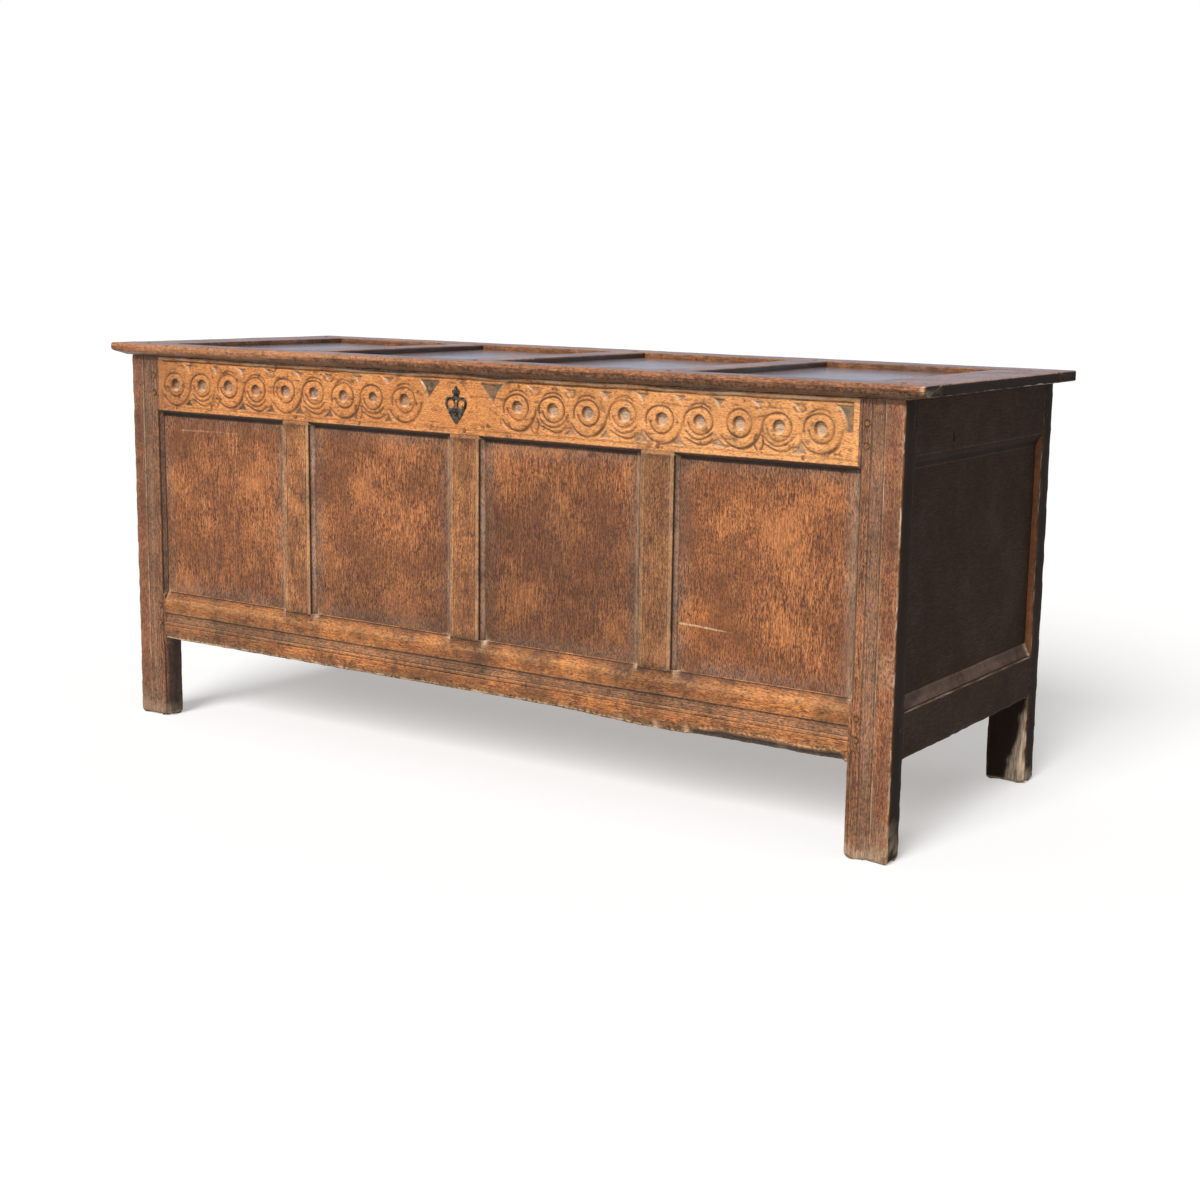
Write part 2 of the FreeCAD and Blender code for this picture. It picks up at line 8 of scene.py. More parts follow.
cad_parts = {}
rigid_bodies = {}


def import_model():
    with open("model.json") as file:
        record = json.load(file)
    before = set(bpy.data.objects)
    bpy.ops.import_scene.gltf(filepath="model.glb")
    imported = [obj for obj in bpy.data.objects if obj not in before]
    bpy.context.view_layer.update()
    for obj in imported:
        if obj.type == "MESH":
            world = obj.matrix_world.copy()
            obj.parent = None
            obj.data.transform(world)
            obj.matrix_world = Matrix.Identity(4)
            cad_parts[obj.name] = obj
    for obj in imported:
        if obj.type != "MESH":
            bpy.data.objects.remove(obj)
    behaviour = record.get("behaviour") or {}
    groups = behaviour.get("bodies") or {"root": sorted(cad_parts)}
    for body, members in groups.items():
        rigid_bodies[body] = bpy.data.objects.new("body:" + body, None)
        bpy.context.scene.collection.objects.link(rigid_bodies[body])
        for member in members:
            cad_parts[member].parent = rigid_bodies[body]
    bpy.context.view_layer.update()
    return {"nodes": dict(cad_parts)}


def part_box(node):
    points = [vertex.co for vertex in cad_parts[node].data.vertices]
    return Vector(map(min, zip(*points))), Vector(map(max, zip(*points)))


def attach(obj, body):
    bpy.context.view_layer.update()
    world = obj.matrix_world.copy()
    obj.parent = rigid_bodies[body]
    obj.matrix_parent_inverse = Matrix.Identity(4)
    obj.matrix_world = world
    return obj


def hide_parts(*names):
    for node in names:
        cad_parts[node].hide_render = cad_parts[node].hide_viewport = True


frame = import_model()
nodes = frame["nodes"]
scene = bpy.context.scene
mm = 0.001
print("stage: frame loaded,", len(nodes), "nodes")


def addObject(name, data):
    thing = bpy.data.objects.new(name, data)
    scene.collection.objects.link(thing)
    return thing


# camera, where the photograph was taken from (metres and degrees)
cameraStand = {
    "place": (1.74287, -2.44187, 0.79526),
    "yaw": 32.8,
    "pitch": -9.79,
    "roll": 1.03,
    "lens": 54.90,
    "sensor": 36.0,
    "shift": (-0.04123, -0.01433),
}


def makeCamera():
    yaw, pitch, roll = (math.radians(cameraStand[key]) for key in ("yaw", "pitch", "roll"))
    ahead = Vector((-math.sin(yaw) * math.cos(pitch), math.cos(yaw) * math.cos(pitch), math.sin(pitch)))
    right = Vector((math.cos(yaw), math.sin(yaw), 0.0))
    up = right.cross(ahead)
    tiltedRight = math.cos(roll) * right + math.sin(roll) * up
    tiltedUp = math.cos(roll) * up - math.sin(roll) * right
    turn = Matrix((tiltedRight, tiltedUp, -ahead)).transposed().to_4x4()
    lens = bpy.data.cameras.new("photoCamera")
    lens.lens = cameraStand["lens"]
    lens.sensor_width = cameraStand["sensor"]
    lens.shift_x, lens.shift_y = cameraStand["shift"]
    lens.clip_end = 200.0
    scene.camera = addObject("photoCamera", lens)
    scene.camera.matrix_world = Matrix.Translation(cameraStand["place"]) @ turn


makeCamera()
print("stage: camera set")


# materials
def hexColour(code):
    parts = [int(code[i:i + 2], 16) / 255 for i in (0, 2, 4)]
    return tuple(p / 12.92 if p <= 0.04045 else ((p + 0.055) / 1.055) ** 2.4 for p in parts) + (1.0,)


def freshTree(owner):
    owner.use_nodes = True
    owner.node_tree.nodes.clear()
    return owner.node_tree


def addNode(tree, kind, settings=None, links=None):
    node = tree.nodes.new("ShaderNode" + kind)
    for key, value in (settings or {}).items():
        if key == "stops":      # colour ramp stops: place, linear colour
            while len(node.color_ramp.elements) < len(value):
                node.color_ramp.elements.new(0.5)
            for stop, (place, colour) in zip(node.color_ramp.elements, value):
                stop.position = place
                stop.color = colour
        elif isinstance(key, int) or key in node.inputs:
            node.inputs[key].default_value = value
        else:
            setattr(node, key, value)
    for key, socket in (links or {}).items():
        tree.links.new(socket, node.inputs[key])
    return node


oakGrain = {
    "bandWidth": 22 * mm,       # broad bands of growth, warmer and cooler
    "streakWidth": 1.9 * mm,    # early wood lines, drawn about twice their real width so that they show
    "poreWidth": 1.0 * mm,      # open pores, really 0.3 mm, drawn coarser so that they show
    "mottleSize": 95 * mm,      # patches of old polish
    "stainSize": 24 * mm,       # small dark stains
    "chipSize": 5 * mm,         # bruises and rubbed spots
    "bandRun": 0.06,            # across to along: how drawn out each pattern is
    "streakRun": 0.085,
    "poreRun": 0.2,
    # painted layers are broken up by the wood's own patterns: pattern, from, to, least
    "breaks": {"haze": ("stain", 0.3, 0.6, 0.45), "warm": ("stain", 0.3, 0.6, 0.45),
               "ground": ("stain", 0.3, 0.6, 0.45), "wear": ("chip", 0.42, 0.58, 0.12),
               "bleach": ("streak", 0.4, 0.62, 0.3)},
}


def makeOak(name, axis, look):
    material = bpy.data.materials.new(name)
    tree = freshTree(material)
    coords = addNode(tree, "TexCoord").outputs["Object"]
    info = addNode(tree, "ObjectInfo")
    # each board starts at its own place in the pattern, so that grain doesn't run on into its neighbour
    shifted = addNode(tree, "VectorMath", {"operation": "MULTIPLY_ADD", 1: (7.3, 11.7, 5.1)},
                      {0: info.outputs["Random"], 2: coords}).outputs[0]
    drawn = {}
    for part, detail in (("band", 2.0), ("streak", 3.0), ("pore", 2.0)):
        run = [1.0, 1.0, 1.0]
        run["XYZ".index(axis)] = oakGrain[part + "Run"]
        along = addNode(tree, "VectorMath", {"operation": "MULTIPLY", 1: run}, {0: shifted})
        noise = addNode(tree, "TexNoise", {"Scale": 1 / oakGrain[part + "Width"], "Detail": detail,
                                           "Roughness": 0.62, "Distortion": 0.3},
                        {"Vector": along.outputs[0]})
        drawn[part] = noise.outputs["Fac"]
    for part, detail in (("mottle", 4.0), ("stain", 5.0), ("chip", 3.0)):
        noise = addNode(tree, "TexNoise", {"Scale": 1 / oakGrain[part + "Size"], "Detail": detail,
                                           "Roughness": 0.63}, {"Vector": shifted})
        drawn[part] = noise.outputs["Fac"]
    # patterns: where the layer starts and is full, strength, colour
    # paints by name are painted on the mesh points: wear, dirt, haze, bleached feet, cut ground, and painted
    # shade, shadow, highlight and sunlight
    streaks, pores = look["streaks"], look["pores"]
    layers = [("band", 0.34, 0.62, look["bands"], "cool"),
              ("streak", 0.5, 0.64, streaks, "light"), ("streak", 0.5, 0.36, streaks, "dark"),
              "haze", "warm",
              ("pore", 0.5, 0.63, pores, "poreColour"), ("pore", 0.48, 0.35, 0.75 * pores, "light"),
              ("mottle", 0.42, 0.66, look["patches"], "patchColour"),
              ("mottle", 0.46, 0.3, look["glow"], "light"),
              ("stain", 0.55, 0.7, look["stains"], "dirtColour"),
              "shade", "ground", "dirt", "wear", "bleach"]
    # painted shade: pegs that stand out on the ends take the dark colour there, by how far across they are
    if "aside" in look:
        across = addNode(tree, "SeparateXYZ", {}, {0: coords})
        drawn["aside"] = addNode(tree, "Math", {"operation": "ABSOLUTE"}, {0: across.outputs[0]}).outputs[0]
        layers.append(("aside", *look["aside"], 0.9, "shadeColour"))
    colour = None
    masks = {}
    for entry in layers:
        if isinstance(entry, str):
            target = entry + "Colour"
            spread = addNode(tree, "Attribute", {"attribute_name": entry})
            mask = addNode(tree, "Math", {"operation": "MULTIPLY", 1: look[entry], "use_clamp": True},
                           {0: spread.outputs["Fac"]})
            if entry in oakGrain["breaks"]:
                part, low, high, least = oakGrain["breaks"][entry]
                broken = addNode(tree, "MapRange", {"From Min": low, "From Max": high, "To Min": least},
                                 {"Value": drawn[part]})
                mask = addNode(tree, "Math", {"operation": "MULTIPLY", "use_clamp": True},
                               {0: mask.outputs[0], 1: broken.outputs[0]})
        else:
            part, empty, full, strength, target = entry
            mask = addNode(tree, "MapRange", {"From Min": empty, "From Max": full, "To Max": strength},
                           {"Value": drawn[part]})
        layer = addNode(tree, "Mix", {"data_type": "RGBA", 6: hexColour(look["mid"]),
                                      7: hexColour(look[target])}, {0: mask.outputs[0]})
        if colour:
            tree.links.new(colour, layer.inputs[6])
        colour = layer.outputs[2]
        masks[target] = mask.outputs[0]
    rough = addNode(tree, "MapRange", {"From Min": 0.3, "From Max": 0.7, "To Min": look["rough"][0],
                                       "To Max": look["rough"][1]}, {"Value": drawn["mottle"]})
    roughPores = addNode(tree, "Math", {"operation": "MULTIPLY_ADD", 1: 0.2, "use_clamp": True},
                         {0: masks["poreColour"], 2: rough.outputs[0]})
    height = addNode(tree, "Math", {"operation": "SUBTRACT"}, {0: drawn["streak"], 1: masks["poreColour"]})
    bump = addNode(tree, "Bump", {"Strength": look["bump"], "Distance": 0.5 * mm},
                   {"Height": height.outputs[0]})
    shader = addNode(tree, "BsdfPrincipled",
                     {"IOR": 1.5, "Specular IOR Level": look["specular"], "Coat Weight": look["coat"],
                      "Coat Roughness": look["coatRough"]},
                     {"Base Color": colour, "Roughness": roughPores.outputs[0], "Normal": bump.outputs[0]})
    addNode(tree, "OutputMaterial", {}, {"Surface": shader.outputs[0]})
    return material


# what the oak finishes have in common; each finish below says where it differs
plainOak = {
    "bands": 0.65, "streaks": 0.9, "pores": 0.85, "patches": 0.5, "glow": 0.2, "stains": 0.35, "haze": 0.8,
    "warm": 0.65, "shade": 0.92, "ground": 1.0, "dirt": 0.9, "wear": 0.7, "bleach": 0.9,
    "poreColour": "2a170e", "dirtColour": "1c110b", "hazeColour": "6f5d52", "warmColour": "a8652f",
    "shadeColour": "1f1611", "groundColour": "6d665b", "bleachColour": "b39f86", "rough": (0.45, 0.62),
    "bump": 0.4, "specular": 0.3, "coat": 0.0, "coatRough": 0.3,
}
oakFinishes = {
    # weathered waxed oak of the frame: red brown, pale along worn arrises, dark in the quirks
    "frame": {"dark": "3b2012", "mid": "714527", "cool": "644535", "light": "a8714a", "patchColour": "472c1e",
              "wearColour": "b08a68", "patches": 0.75, "stains": 0.6, "hazeColour": "786558",
              "warmColour": "87482e", "shadeColour": "150e0b"},
    # polished oak of the muntins: a little more golden than the posts
    "muntin": {"dark": "452613", "mid": "88542e", "cool": "754f38", "light": "ba8050",
               "patchColour": "4f301d", "wearColour": "b58a60", "hazeColour": "98867e", "haze": 1.0,
               "warmColour": "b47f4a", "patches": 0.75, "stains": 0.6},
    # sun faded oak of the carved rail: golden orange face, grey cut ground, pale hollows
    "carved": {"dark": "8a4e24", "mid": "b7763f", "cool": "aa6f3e", "light": "cf955a",
               "patchColour": "966236", "poreColour": "5e3418", "dirtColour": "2d180c",
               "wearColour": "d3b598", "bleachColour": "d9c3a8", "groundColour": "4b4439",
               "hazeColour": "7d7f7b", "warmColour": "d6a068", "bands": 0.5, "streaks": 0.55, "pores": 0.75,
               "patches": 0.55, "stains": 0.65, "haze": 1.0},
    # warm oak of the bottom rail: orange where hands and sun reached it, ragged pale lower edge
    "base": {"dark": "482511", "mid": "8a4e23", "cool": "774a2f", "light": "bd7c42", "patchColour": "4e2f1b",
             "patches": 0.9, "stains": 0.65, "wearColour": "bd966a", "hazeColour": "6d5648",
             "warmColour": "c48142"},
    # split oak panels: red brown, close vertical pores, greyer where the polishing cloth never reached
    "panel": {"dark": "462412", "mid": "804a26", "cool": "714832", "light": "b07344", "patchColour": "53311d",
              "patches": 0.75, "glow": 0.35, "streaks": 1.0, "wearColour": "a0724e", "wear": 0.4,
              "pores": 0.95},
    # ends: dark neutral brown, dull; partly wood that the sun never bleached, partly painted shade for the
    # shaded ends
    "end": {"dark": "20150e", "mid": "302117", "cool": "2c2018", "light": "3e2d20", "patchColour": "261a12",
            "poreColour": "150e0a", "wearColour": "5a4635", "wear": 0.6, "hazeColour": "6d5b54",
            "warmColour": "ab7049", "streaks": 0.6, "pores": 0.4, "bleachColour": "bba992",
            "rough": (0.7, 0.82), "specular": 0.08},
    # waxed lid frame: brown with a hand-worn gloss, and cold dark painted shade on its edges
    "lid": {"dark": "452717", "mid": "724629", "cool": "684534", "light": "9c683b", "patchColour": "432c1f",
            "patches": 0.65, "stains": 0.5, "wearColour": "b08457", "wear": 0.45, "groundColour": "2b1e16",
            "shadeColour": "1d1817", "rough": (0.28, 0.42), "bump": 0.22, "specular": 0.4, "coat": 0.2,
            "coatRough": 0.16},
    # front edge of the lid: golden brown and dry above, black with hand grease below
    "nose": {"dark": "46291d", "mid": "764a33", "cool": "6c4a3c", "light": "a26c4c", "patchColour": "4b3328",
             "stains": 0.5, "wearColour": "a87c5e", "wear": 0.35, "groundColour": "39291f",
             "shadeColour": "1d1817", "warmColour": "bd8a64", "bleachColour": "cdb08a", "rough": (0.62, 0.76),
             "bump": 0.3, "specular": 0.1},
    # waxed lid panels: darker and glossier, they mirror the sky
    "lidPanel": {"dark": "38221a", "mid": "553725", "cool": "4e382c", "light": "6f4c38",
                 "patchColour": "432d22", "wearColour": "8b6547", "wear": 0.4, "rough": (0.16, 0.3),
                 "bump": 0.2, "specular": 0.5, "coat": 0.45, "coatRough": 0.1},
    # bare oak of the back, floor and inside faces: dry, dusty brown
    "bare": {"dark": "4a3726", "mid": "70563b", "cool": "685541", "light": "8f7555", "patchColour": "58432f",
             "poreColour": "302115", "wearColour": "a18968", "wear": 0.5, "rough": (0.62, 0.82),
             "specular": 0.35},
    # riven oak pegs: small brown end grain; on the ends they take painted shade, as dark as the wood round
    # them
    "peg": {"dark": "53351f", "mid": "7a5232", "cool": "6d4d34", "light": "98704a", "patchColour": "5a3d28",
            "wearColour": "b0906c", "wear": 0.4, "aside": (728 * mm, 729 * mm), "rough": (0.65, 0.8),
            "specular": 0.1},
}
oakMaterials = {}


def oak(finish, axis):
    if (finish, axis) not in oakMaterials:
        look = {**plainOak, **oakFinishes[finish]}
        oakMaterials[finish, axis] = makeOak("oak_" + finish + "_grain" + axis, axis, look)
    return oakMaterials[finish, axis]


wroughtIron = {
    "scaleSize": 8 * mm,      # forge scale
    "rustSize": 11 * mm,
    "dark": "1d1a18",
    "bright": "6f6962",
    "rust": "4a2c1a",
    "rough": (0.36, 0.68),
}


def makeIron():
    # wrought iron, hammered and long oxidised: near black, with a dull grey sheen and rusty hollows
    material = bpy.data.materials.new("wroughtIron_hammered")
    tree = freshTree(material)
    coords = addNode(tree, "TexCoord").outputs["Object"]
    scale, rust = (addNode(tree, "TexNoise", {"Scale": 1 / wroughtIron[part + "Size"], "Detail": detail,
                                              "Roughness": rough}, {"Vector": coords}).outputs["Fac"]
                   for part, detail, rough in (("scale", 4.0, 0.65), ("rust", 5.0, 0.7)))
    metal = addNode(tree, "ValToRGB", {"stops": [(0.42, hexColour(wroughtIron["dark"])),
                                                 (0.68, hexColour(wroughtIron["bright"]))]}, {"Fac": scale})
    rusty = addNode(tree, "MapRange", {"From Min": 0.52, "From Max": 0.68, "To Max": 0.8}, {"Value": rust})
    colour = addNode(tree, "Mix", {"data_type": "RGBA", 7: hexColour(wroughtIron["rust"])},
                     {0: rusty.outputs[0], 6: metal.outputs[0]})
    bare = addNode(tree, "MapRange", {"From Max": 0.8, "To Min": 0.85, "To Max": 0.1},
                   {"Value": rusty.outputs[0]})
    rough = addNode(tree, "MapRange", {"To Min": wroughtIron["rough"][0], "To Max": wroughtIron["rough"][1]},
                    {"Value": rust})
    bump = addNode(tree, "Bump", {"Strength": 0.5, "Distance": 0.5 * mm}, {"Height": scale})
    shader = addNode(tree, "BsdfPrincipled", {},
                     {"Base Color": colour.outputs[2], "Metallic": bare.outputs[0],
                      "Roughness": rough.outputs[0], "Normal": bump.outputs[0]})
    addNode(tree, "OutputMaterial", {}, {"Surface": shader.outputs[0]})
    return material


ironMaterial = makeIron()
print("stage: materials made")


# old timber is never flat: value noise in three dimensions moves the points of every board
def hashCell(x, y, z):
    mixed = (x * 374761393 + y * 668265263 + z * 1440662683) & 0xffffffff
    mixed = ((mixed ^ (mixed >> 13)) * 1274126177) & 0xffffffff
    return ((mixed ^ (mixed >> 16)) & 0xffff) / 32767.5 - 1.0


def unevenness(points, size, seed=0):
    # size in millimetres
    q = np.asarray(points) / (size * mm) + seed * 17.31
    cell = np.floor(q).astype(np.int64)
    part = q - cell
    part = part * part * (3 - 2 * part)
    total = 0.0
    for corner in np.ndindex(2, 2, 2):
        weight = np.where(corner, part, 1 - part).prod(axis=-1)
        total = total + weight * hashCell(*np.moveaxis(cell + np.array(corner), -1, 0))
    return total


def smoothStep(low, high, value):
    t = np.clip((value - low) / (high - low), 0, 1)
    return t * t * (3 - 2 * t)


def fade(low, high, value):
    # the same, with its limits in millimetres
    return smoothStep(low * mm, high * mm, value)


def between(value, low, high, soft):
    return smoothStep(low - soft, low + soft, value) * (1 - smoothStep(high - soft, high + soft, value))


def deepen(paints, **layers):
    for name, value in layers.items():
        paints[name] = np.maximum(paints.get(name, 0.0), value)


boardMaking = {
    "arcSteps": 3,           # faces round each arris
    "roundShare": 0.42,      # a rounding takes no more than this of a side
    "endSteps": (0.12, 0.35, 0.65, 1.0, 1.5),    # stations at an end, as shares of its rounding
    "leastStep": 0.25 * mm,
    "nick": 0.4,             # usual depth of bruises along an arris, mm
    "supportGap": 0.9 * mm,  # keeps flat faces flat beside a rounded arris
    "sideStep": 11 * mm,
    "wave": 0.45 * mm,       # slow unevenness of hand planed faces
    "waveSize": 130,         # mm
    "bruiseSize": 13,        # mm
    "lap": 3 * mm,           # how far a panel goes into its grooves
}


def roundedOutline(corners, counts):
    # corners: across, up, then reach of the rounding and depth of nicks in millimetres
    n = len(corners)
    steps = boardMaking["arcSteps"]
    area = sum(corners[i - 1][0] * corners[i][1] - corners[i][0] * corners[i - 1][1] for i in range(n))
    arcs = []
    for i, corner in enumerate(corners):
        u, v, reach, nick = (*corner, boardMaking["nick"])[:4]
        before = (corners[i - 1][0] - u, corners[i - 1][1] - v)
        after = (corners[(i + 1) % n][0] - u, corners[(i + 1) % n][1] - v)
        lengthBefore = math.hypot(*before) or 1e-9
        lengthAfter = math.hypot(*after) or 1e-9
        reach = min(reach * mm, boardMaking["roundShare"] * min(lengthBefore, lengthAfter))
        convex = (before[0] * after[1] - before[1] * after[0]) * area < 0
        # wear, dirt and nick of the arris
        marks = (min(1.0, 0.12 + 0.55 * nick), 0.0, nick * mm) if convex else (0.0, 1.0, 0.0)
        arc = []
        for k in range(steps + 1):
            t = k / steps
            a = (1 - t) ** 2 * reach / lengthBefore
            b = t ** 2 * reach / lengthAfter
            arc.append((u + before[0] * a + after[0] * b, v + before[1] * a + after[1] * b, *marks))
        arcs.append(arc)
    points = []
    for i, arc in enumerate(arcs):
        points.extend(arc)
        last = arc[-1]
        ahead = arcs[(i + 1) % n][0]
        length = math.hypot(ahead[0] - last[0], ahead[1] - last[1]) or 1e-9
        gap = min(0.25, boardMaking["supportGap"] / length)
        places = [gap] + [gap + (1 - 2 * gap) * k / counts[i] for k in range(1, counts[i])] + [1 - gap]
        for place in places:
            near = last if place < 0.5 else ahead
            edge = 0.4 if place in (gap, 1 - gap) else 0.0
            points.append((last[0] + (ahead[0] - last[0]) * place, last[1] + (ahead[1] - last[1]) * place,
                           near[2] * edge, near[3] * edge, near[4] * edge * 0.5))
    return points


def sideCounts(corners, fine=None):
    counts = []
    for i, corner in enumerate(corners):
        ahead = corners[(i + 1) % len(corners)]
        step = (fine or {}).get(i, boardMaking["sideStep"])
        counts.append(max(1, round(math.hypot(ahead[0] - corner[0], ahead[1] - corner[1]) / step)))
    return counts


def spanStations(low, high, step, extra=()):
    even = np.linspace(low, high, max(2, int(round((high - low) / step)) + 1))
    kept = sorted(set(round(float(s), 6) for s in list(even) + list(extra) if low <= s <= high))
    tidy = [kept[0]]
    for s in kept[1:]:
        if s - tidy[-1] > boardMaking["leastStep"]:
            tidy.append(s)
    tidy[-1] = kept[-1]
    return tidy


def closeMesh(mesh, weld=0.0):
    # joins doubled points and turns every face outward
    shape = bmesh.new()
    shape.from_mesh(mesh)
    if weld:
        bmesh.ops.remove_doubles(shape, verts=shape.verts, dist=weld)
    bmesh.ops.recalc_face_normals(shape, faces=shape.faces)
    shape.to_mesh(mesh)
    shape.free()


def addPiece(name, mesh, body, node):
    piece = addObject(name, mesh)
    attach(piece, body)
    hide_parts(node)


def sweepBoard(node, axis, stations, section, finish, slot, body="carcase", kind="board", rounds=(1.5, 1.5),
               fine=None, endNick=0.0, after=None, seed=0, wave=1.0, haze=0.0, dry=None, eased=None,
               others=()):
    # a board is one outline carried along the grain, X, Y or Z; rounds are its end arrises in millimetres
    low, high = stations[0], stations[-1]
    ends = ((low, 1, rounds[0] * mm), (high, -1, rounds[1] * mm))
    extra = [end + inward * reach * k for end, inward, reach in ends for k in boardMaking["endSteps"]]
    stations = spanStations(low, high, high - low, list(stations) + extra)
    counts = sideCounts(section(0.5 * (low + high)), fine)
    rings = np.array([roundedOutline(section(s), counts) for s in stations])
    count = rings.shape[1]
    flat = rings[:, :, :2]
    wear, dirt, nick = (rings[:, :, k] for k in (2, 3, 4))
    ahead = np.roll(flat, -1, axis=1) - np.roll(flat, 1, axis=1)
    outward = np.stack([ahead[..., 1], -ahead[..., 0]], axis=-1)
    outward /= np.linalg.norm(outward, axis=-1, keepdims=True) + 1e-12
    u, v = flat[0, :, 0], flat[0, :, 1]
    if np.sum(u * np.roll(v, -1) - np.roll(u, -1) * v) < 0:
        outward = -outward
    run = np.array(stations)[:, None] * np.ones((1, count))
    order = {"X": (2, 0, 1), "Y": (0, 2, 1), "Z": (0, 1, 2)}[axis]

    def place(plane):
        stacked = (plane[..., 0], plane[..., 1], run)
        return np.stack([stacked[k] for k in order], axis=-1)

    spots = place(flat)
    push = boardMaking["wave"] * wave * unevenness(spots, boardMaking["waveSize"], seed + 1)
    bruise = unevenness(spots, boardMaking["bruiseSize"], seed + 2) + 0.6 * unevenness(spots, 5, seed + 3)
    push = push - nick * np.clip(bruise + 0.35, 0, 1.4)
    ragged = 1 + endNick * np.clip(unevenness(spots, 16, seed + 4), -0.8, 1.2)
    share = eased(flat) if eased else 1.0      # a joint keeps its square edge
    for end, inward, reach in ends:
        depth = np.clip(1 - np.abs(run - end) / reach, 0, 1)
        push = push - share * reach * ragged * (1 - np.sqrt(np.clip(1 - depth ** 2, 0, 1)))
        wear = np.maximum(wear, np.clip(depth * 1.2, 0, 1) * 0.8)
    flat = flat + outward * push[..., None]
    u, v = flat[..., 0], flat[..., 1]
    paints = {"wear": wear, "dirt": dirt}
    if after:
        after(u, v, run, paints, place(flat))     # paints the board, and may move u and v in place
    if haze:
        reach = np.minimum(np.minimum(u - u.min(), u.max() - u), np.minimum(run - low, high - run))
        paints["haze"] = 1 - smoothStep(0.2 * haze, haze, reach)
    if dry:
        # no wax on the side that is never seen: which way across the board, and which of its two sides
        index, side = dry
        level = side * flat[..., index]
        deepen(paints, haze=0.9 * fade(-2.4, -1.4, level - level.max()))
    points = place(flat).reshape(-1, 3)
    # each end closes on a middle point
    points = np.vstack([points, points[:count].mean(axis=0), points[-count:].mean(axis=0)])
    base = len(points) - 2
    top = (len(stations) - 1) * count
    faces = []
    for j in range(count):
        k = (j + 1) % count
        faces += [(i + j, i + k, i + count + k, i + count + j) for i in range(0, top, count)]
        faces += [(base, k, j), (base + 1, top + j, top + k)]
    mesh = bpy.data.meshes.new(node + "_" + kind)
    mesh.from_pydata(points.tolist(), [], faces)
    for paint, value in paints.items():
        value = np.append(value.reshape(-1), [value[0].mean(), value[-1].mean()])
        mesh.attributes.new(paint, "FLOAT", "POINT").data.foreach_set("value", value.astype(np.float32))
    closeMesh(mesh)
    mesh.shade_smooth()
    mesh.materials.append(oak(finish, axis))
    for index, (otherFinish, test) in enumerate(others):
        # faces that pass the test all round take another finish
        mesh.materials.append(oak(otherFinish, axis))
        chosen = test(points)
        for face in mesh.polygons:
            if all(chosen[k] for k in face.vertices):
                face.material_index = index + 1
    addPiece(node + "_" + kind, mesh, body, node)


def plainSection(u0, u1, v0, v1, reach, nick=boardMaking["nick"]):
    return lambda s: [(u, v, reach, nick) for u, v in ((u0, v0), (u1, v0), (u1, v1), (u0, v1))]


def plainBoard(node, axis, finish, slot, body="carcase", reach=1.5, trim=None, step=40 * mm, extra=(),
               **more):
    low, high = (list(corner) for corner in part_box(node))
    for index, span in (trim or {}).items():
        low[index], high[index] = span
    first, second, along = {"X": (1, 2, 0), "Y": (0, 2, 1), "Z": (0, 1, 2)}[axis]
    section = plainSection(low[first], high[first], low[second], high[second], reach)
    sweepBoard(node, axis, spanStations(low[along], high[along], step, extra), section, finish, slot, body,
               rounds=(reach, reach), **more)


def lapped(low, high):
    return low - boardMaking["lap"], high + boardMaking["lap"]


# places taken from the frame
frontRight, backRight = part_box("front_right_post"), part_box("back_right_post")
topRail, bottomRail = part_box("front_top_rail"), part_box("front_bottom_rail")
bothSides = (("left", -1), ("right", 1))
faceY = frontRight[0].y
innerX = frontRight[0].x
railUnder, openLow, openHigh = bottomRail[0].z, bottomRail[1].z, topRail[0].z
muntinBoxes = [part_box("front_muntin_" + str(i)) for i in (1, 2, 3)]
muntinMiddles = [0.5 * (low.x + high.x) for low, high in muntinBoxes]
bayEdges = [(-innerX, muntinBoxes[0][0].x), (muntinBoxes[0][1].x, muntinBoxes[1][0].x),
            (muntinBoxes[1][1].x, muntinBoxes[2][0].x), (muntinBoxes[2][1].x, innerX)]

frontMoulding = {
    "width": 6 * mm,
    "depth": 10 * mm,
    "quirk": 3.6 * mm,   # sharp drop behind the arris, where upright mouldings show a black line
    "least": 0.02,       # share of the depth where the moulding has run out
}


def mouldingShare(s, spans):
    # 1 beside an opening, running out over the moulding's own width at the mitres
    outside = min(max(low - s, s - high, 0.0) for low, high in spans)
    return max(frontMoulding["least"], 1 - outside / frontMoulding["width"])


def mitreStations(spans):
    return [edge + side * frontMoulding["width"] * k for span in spans for edge, side in zip(span, (-1, 1))
            for k in (0.0, 0.33, 0.66, 1.0)]


# posts: a shallow scratched channel down each front face, feet worn round and bleached
postShape = {
    "channelFrom": 17 * mm,   # from the inner edge
    "channelWide": 22 * mm,
    "channelDeep": 0.9 * mm,
    "lineInset": 6 * mm,      # two fine lines stand in the channel
    "lineDeep": 0.7 * mm,
    "lineHalf": 0.8 * mm,
    "lost": (-5, -22),        # the left foot has lost its inner corner: below the rail, mm
    "arris": 2.6,             # roundings of arris and foot, mm
    "foot": 9,
    "bleachHeight": 70 * mm,
    "bleached": {-1: 0.4, 1: 0.7},       # left and right
    "tones": {-1: 0.24, 1: 0.1},
    "flecks": (268 * mm, 34 * mm),       # a cluster of bruises on the outer strip: middle, half height
    "footShade": (210 * mm, 0.26),       # darker towards the floor: height, strength
    "greyFrom": (470 * mm, 610 * mm),    # dry grey wood towards the top
    "pegIn": 12 * mm,         # pegs of the rails: from the inner edge, and apart
    "pegApart": 30 * mm,
    "pegHalf": 3.5 * mm,
    "pegHollow": 0.7 * mm,
    "pegStep": 1.4 * mm,      # mesh steps: round a peg, up the front and back posts, across the front face
    "frontStep": 6 * mm,
    "backStep": 9 * mm,
    "faceStep": 1.6 * mm,
}
pegLevels = [0.5 * (low.z + high.z) + way * 0.5 * postShape["pegApart"]
             for low, high in (topRail, bottomRail) for way in (-1, 1)]


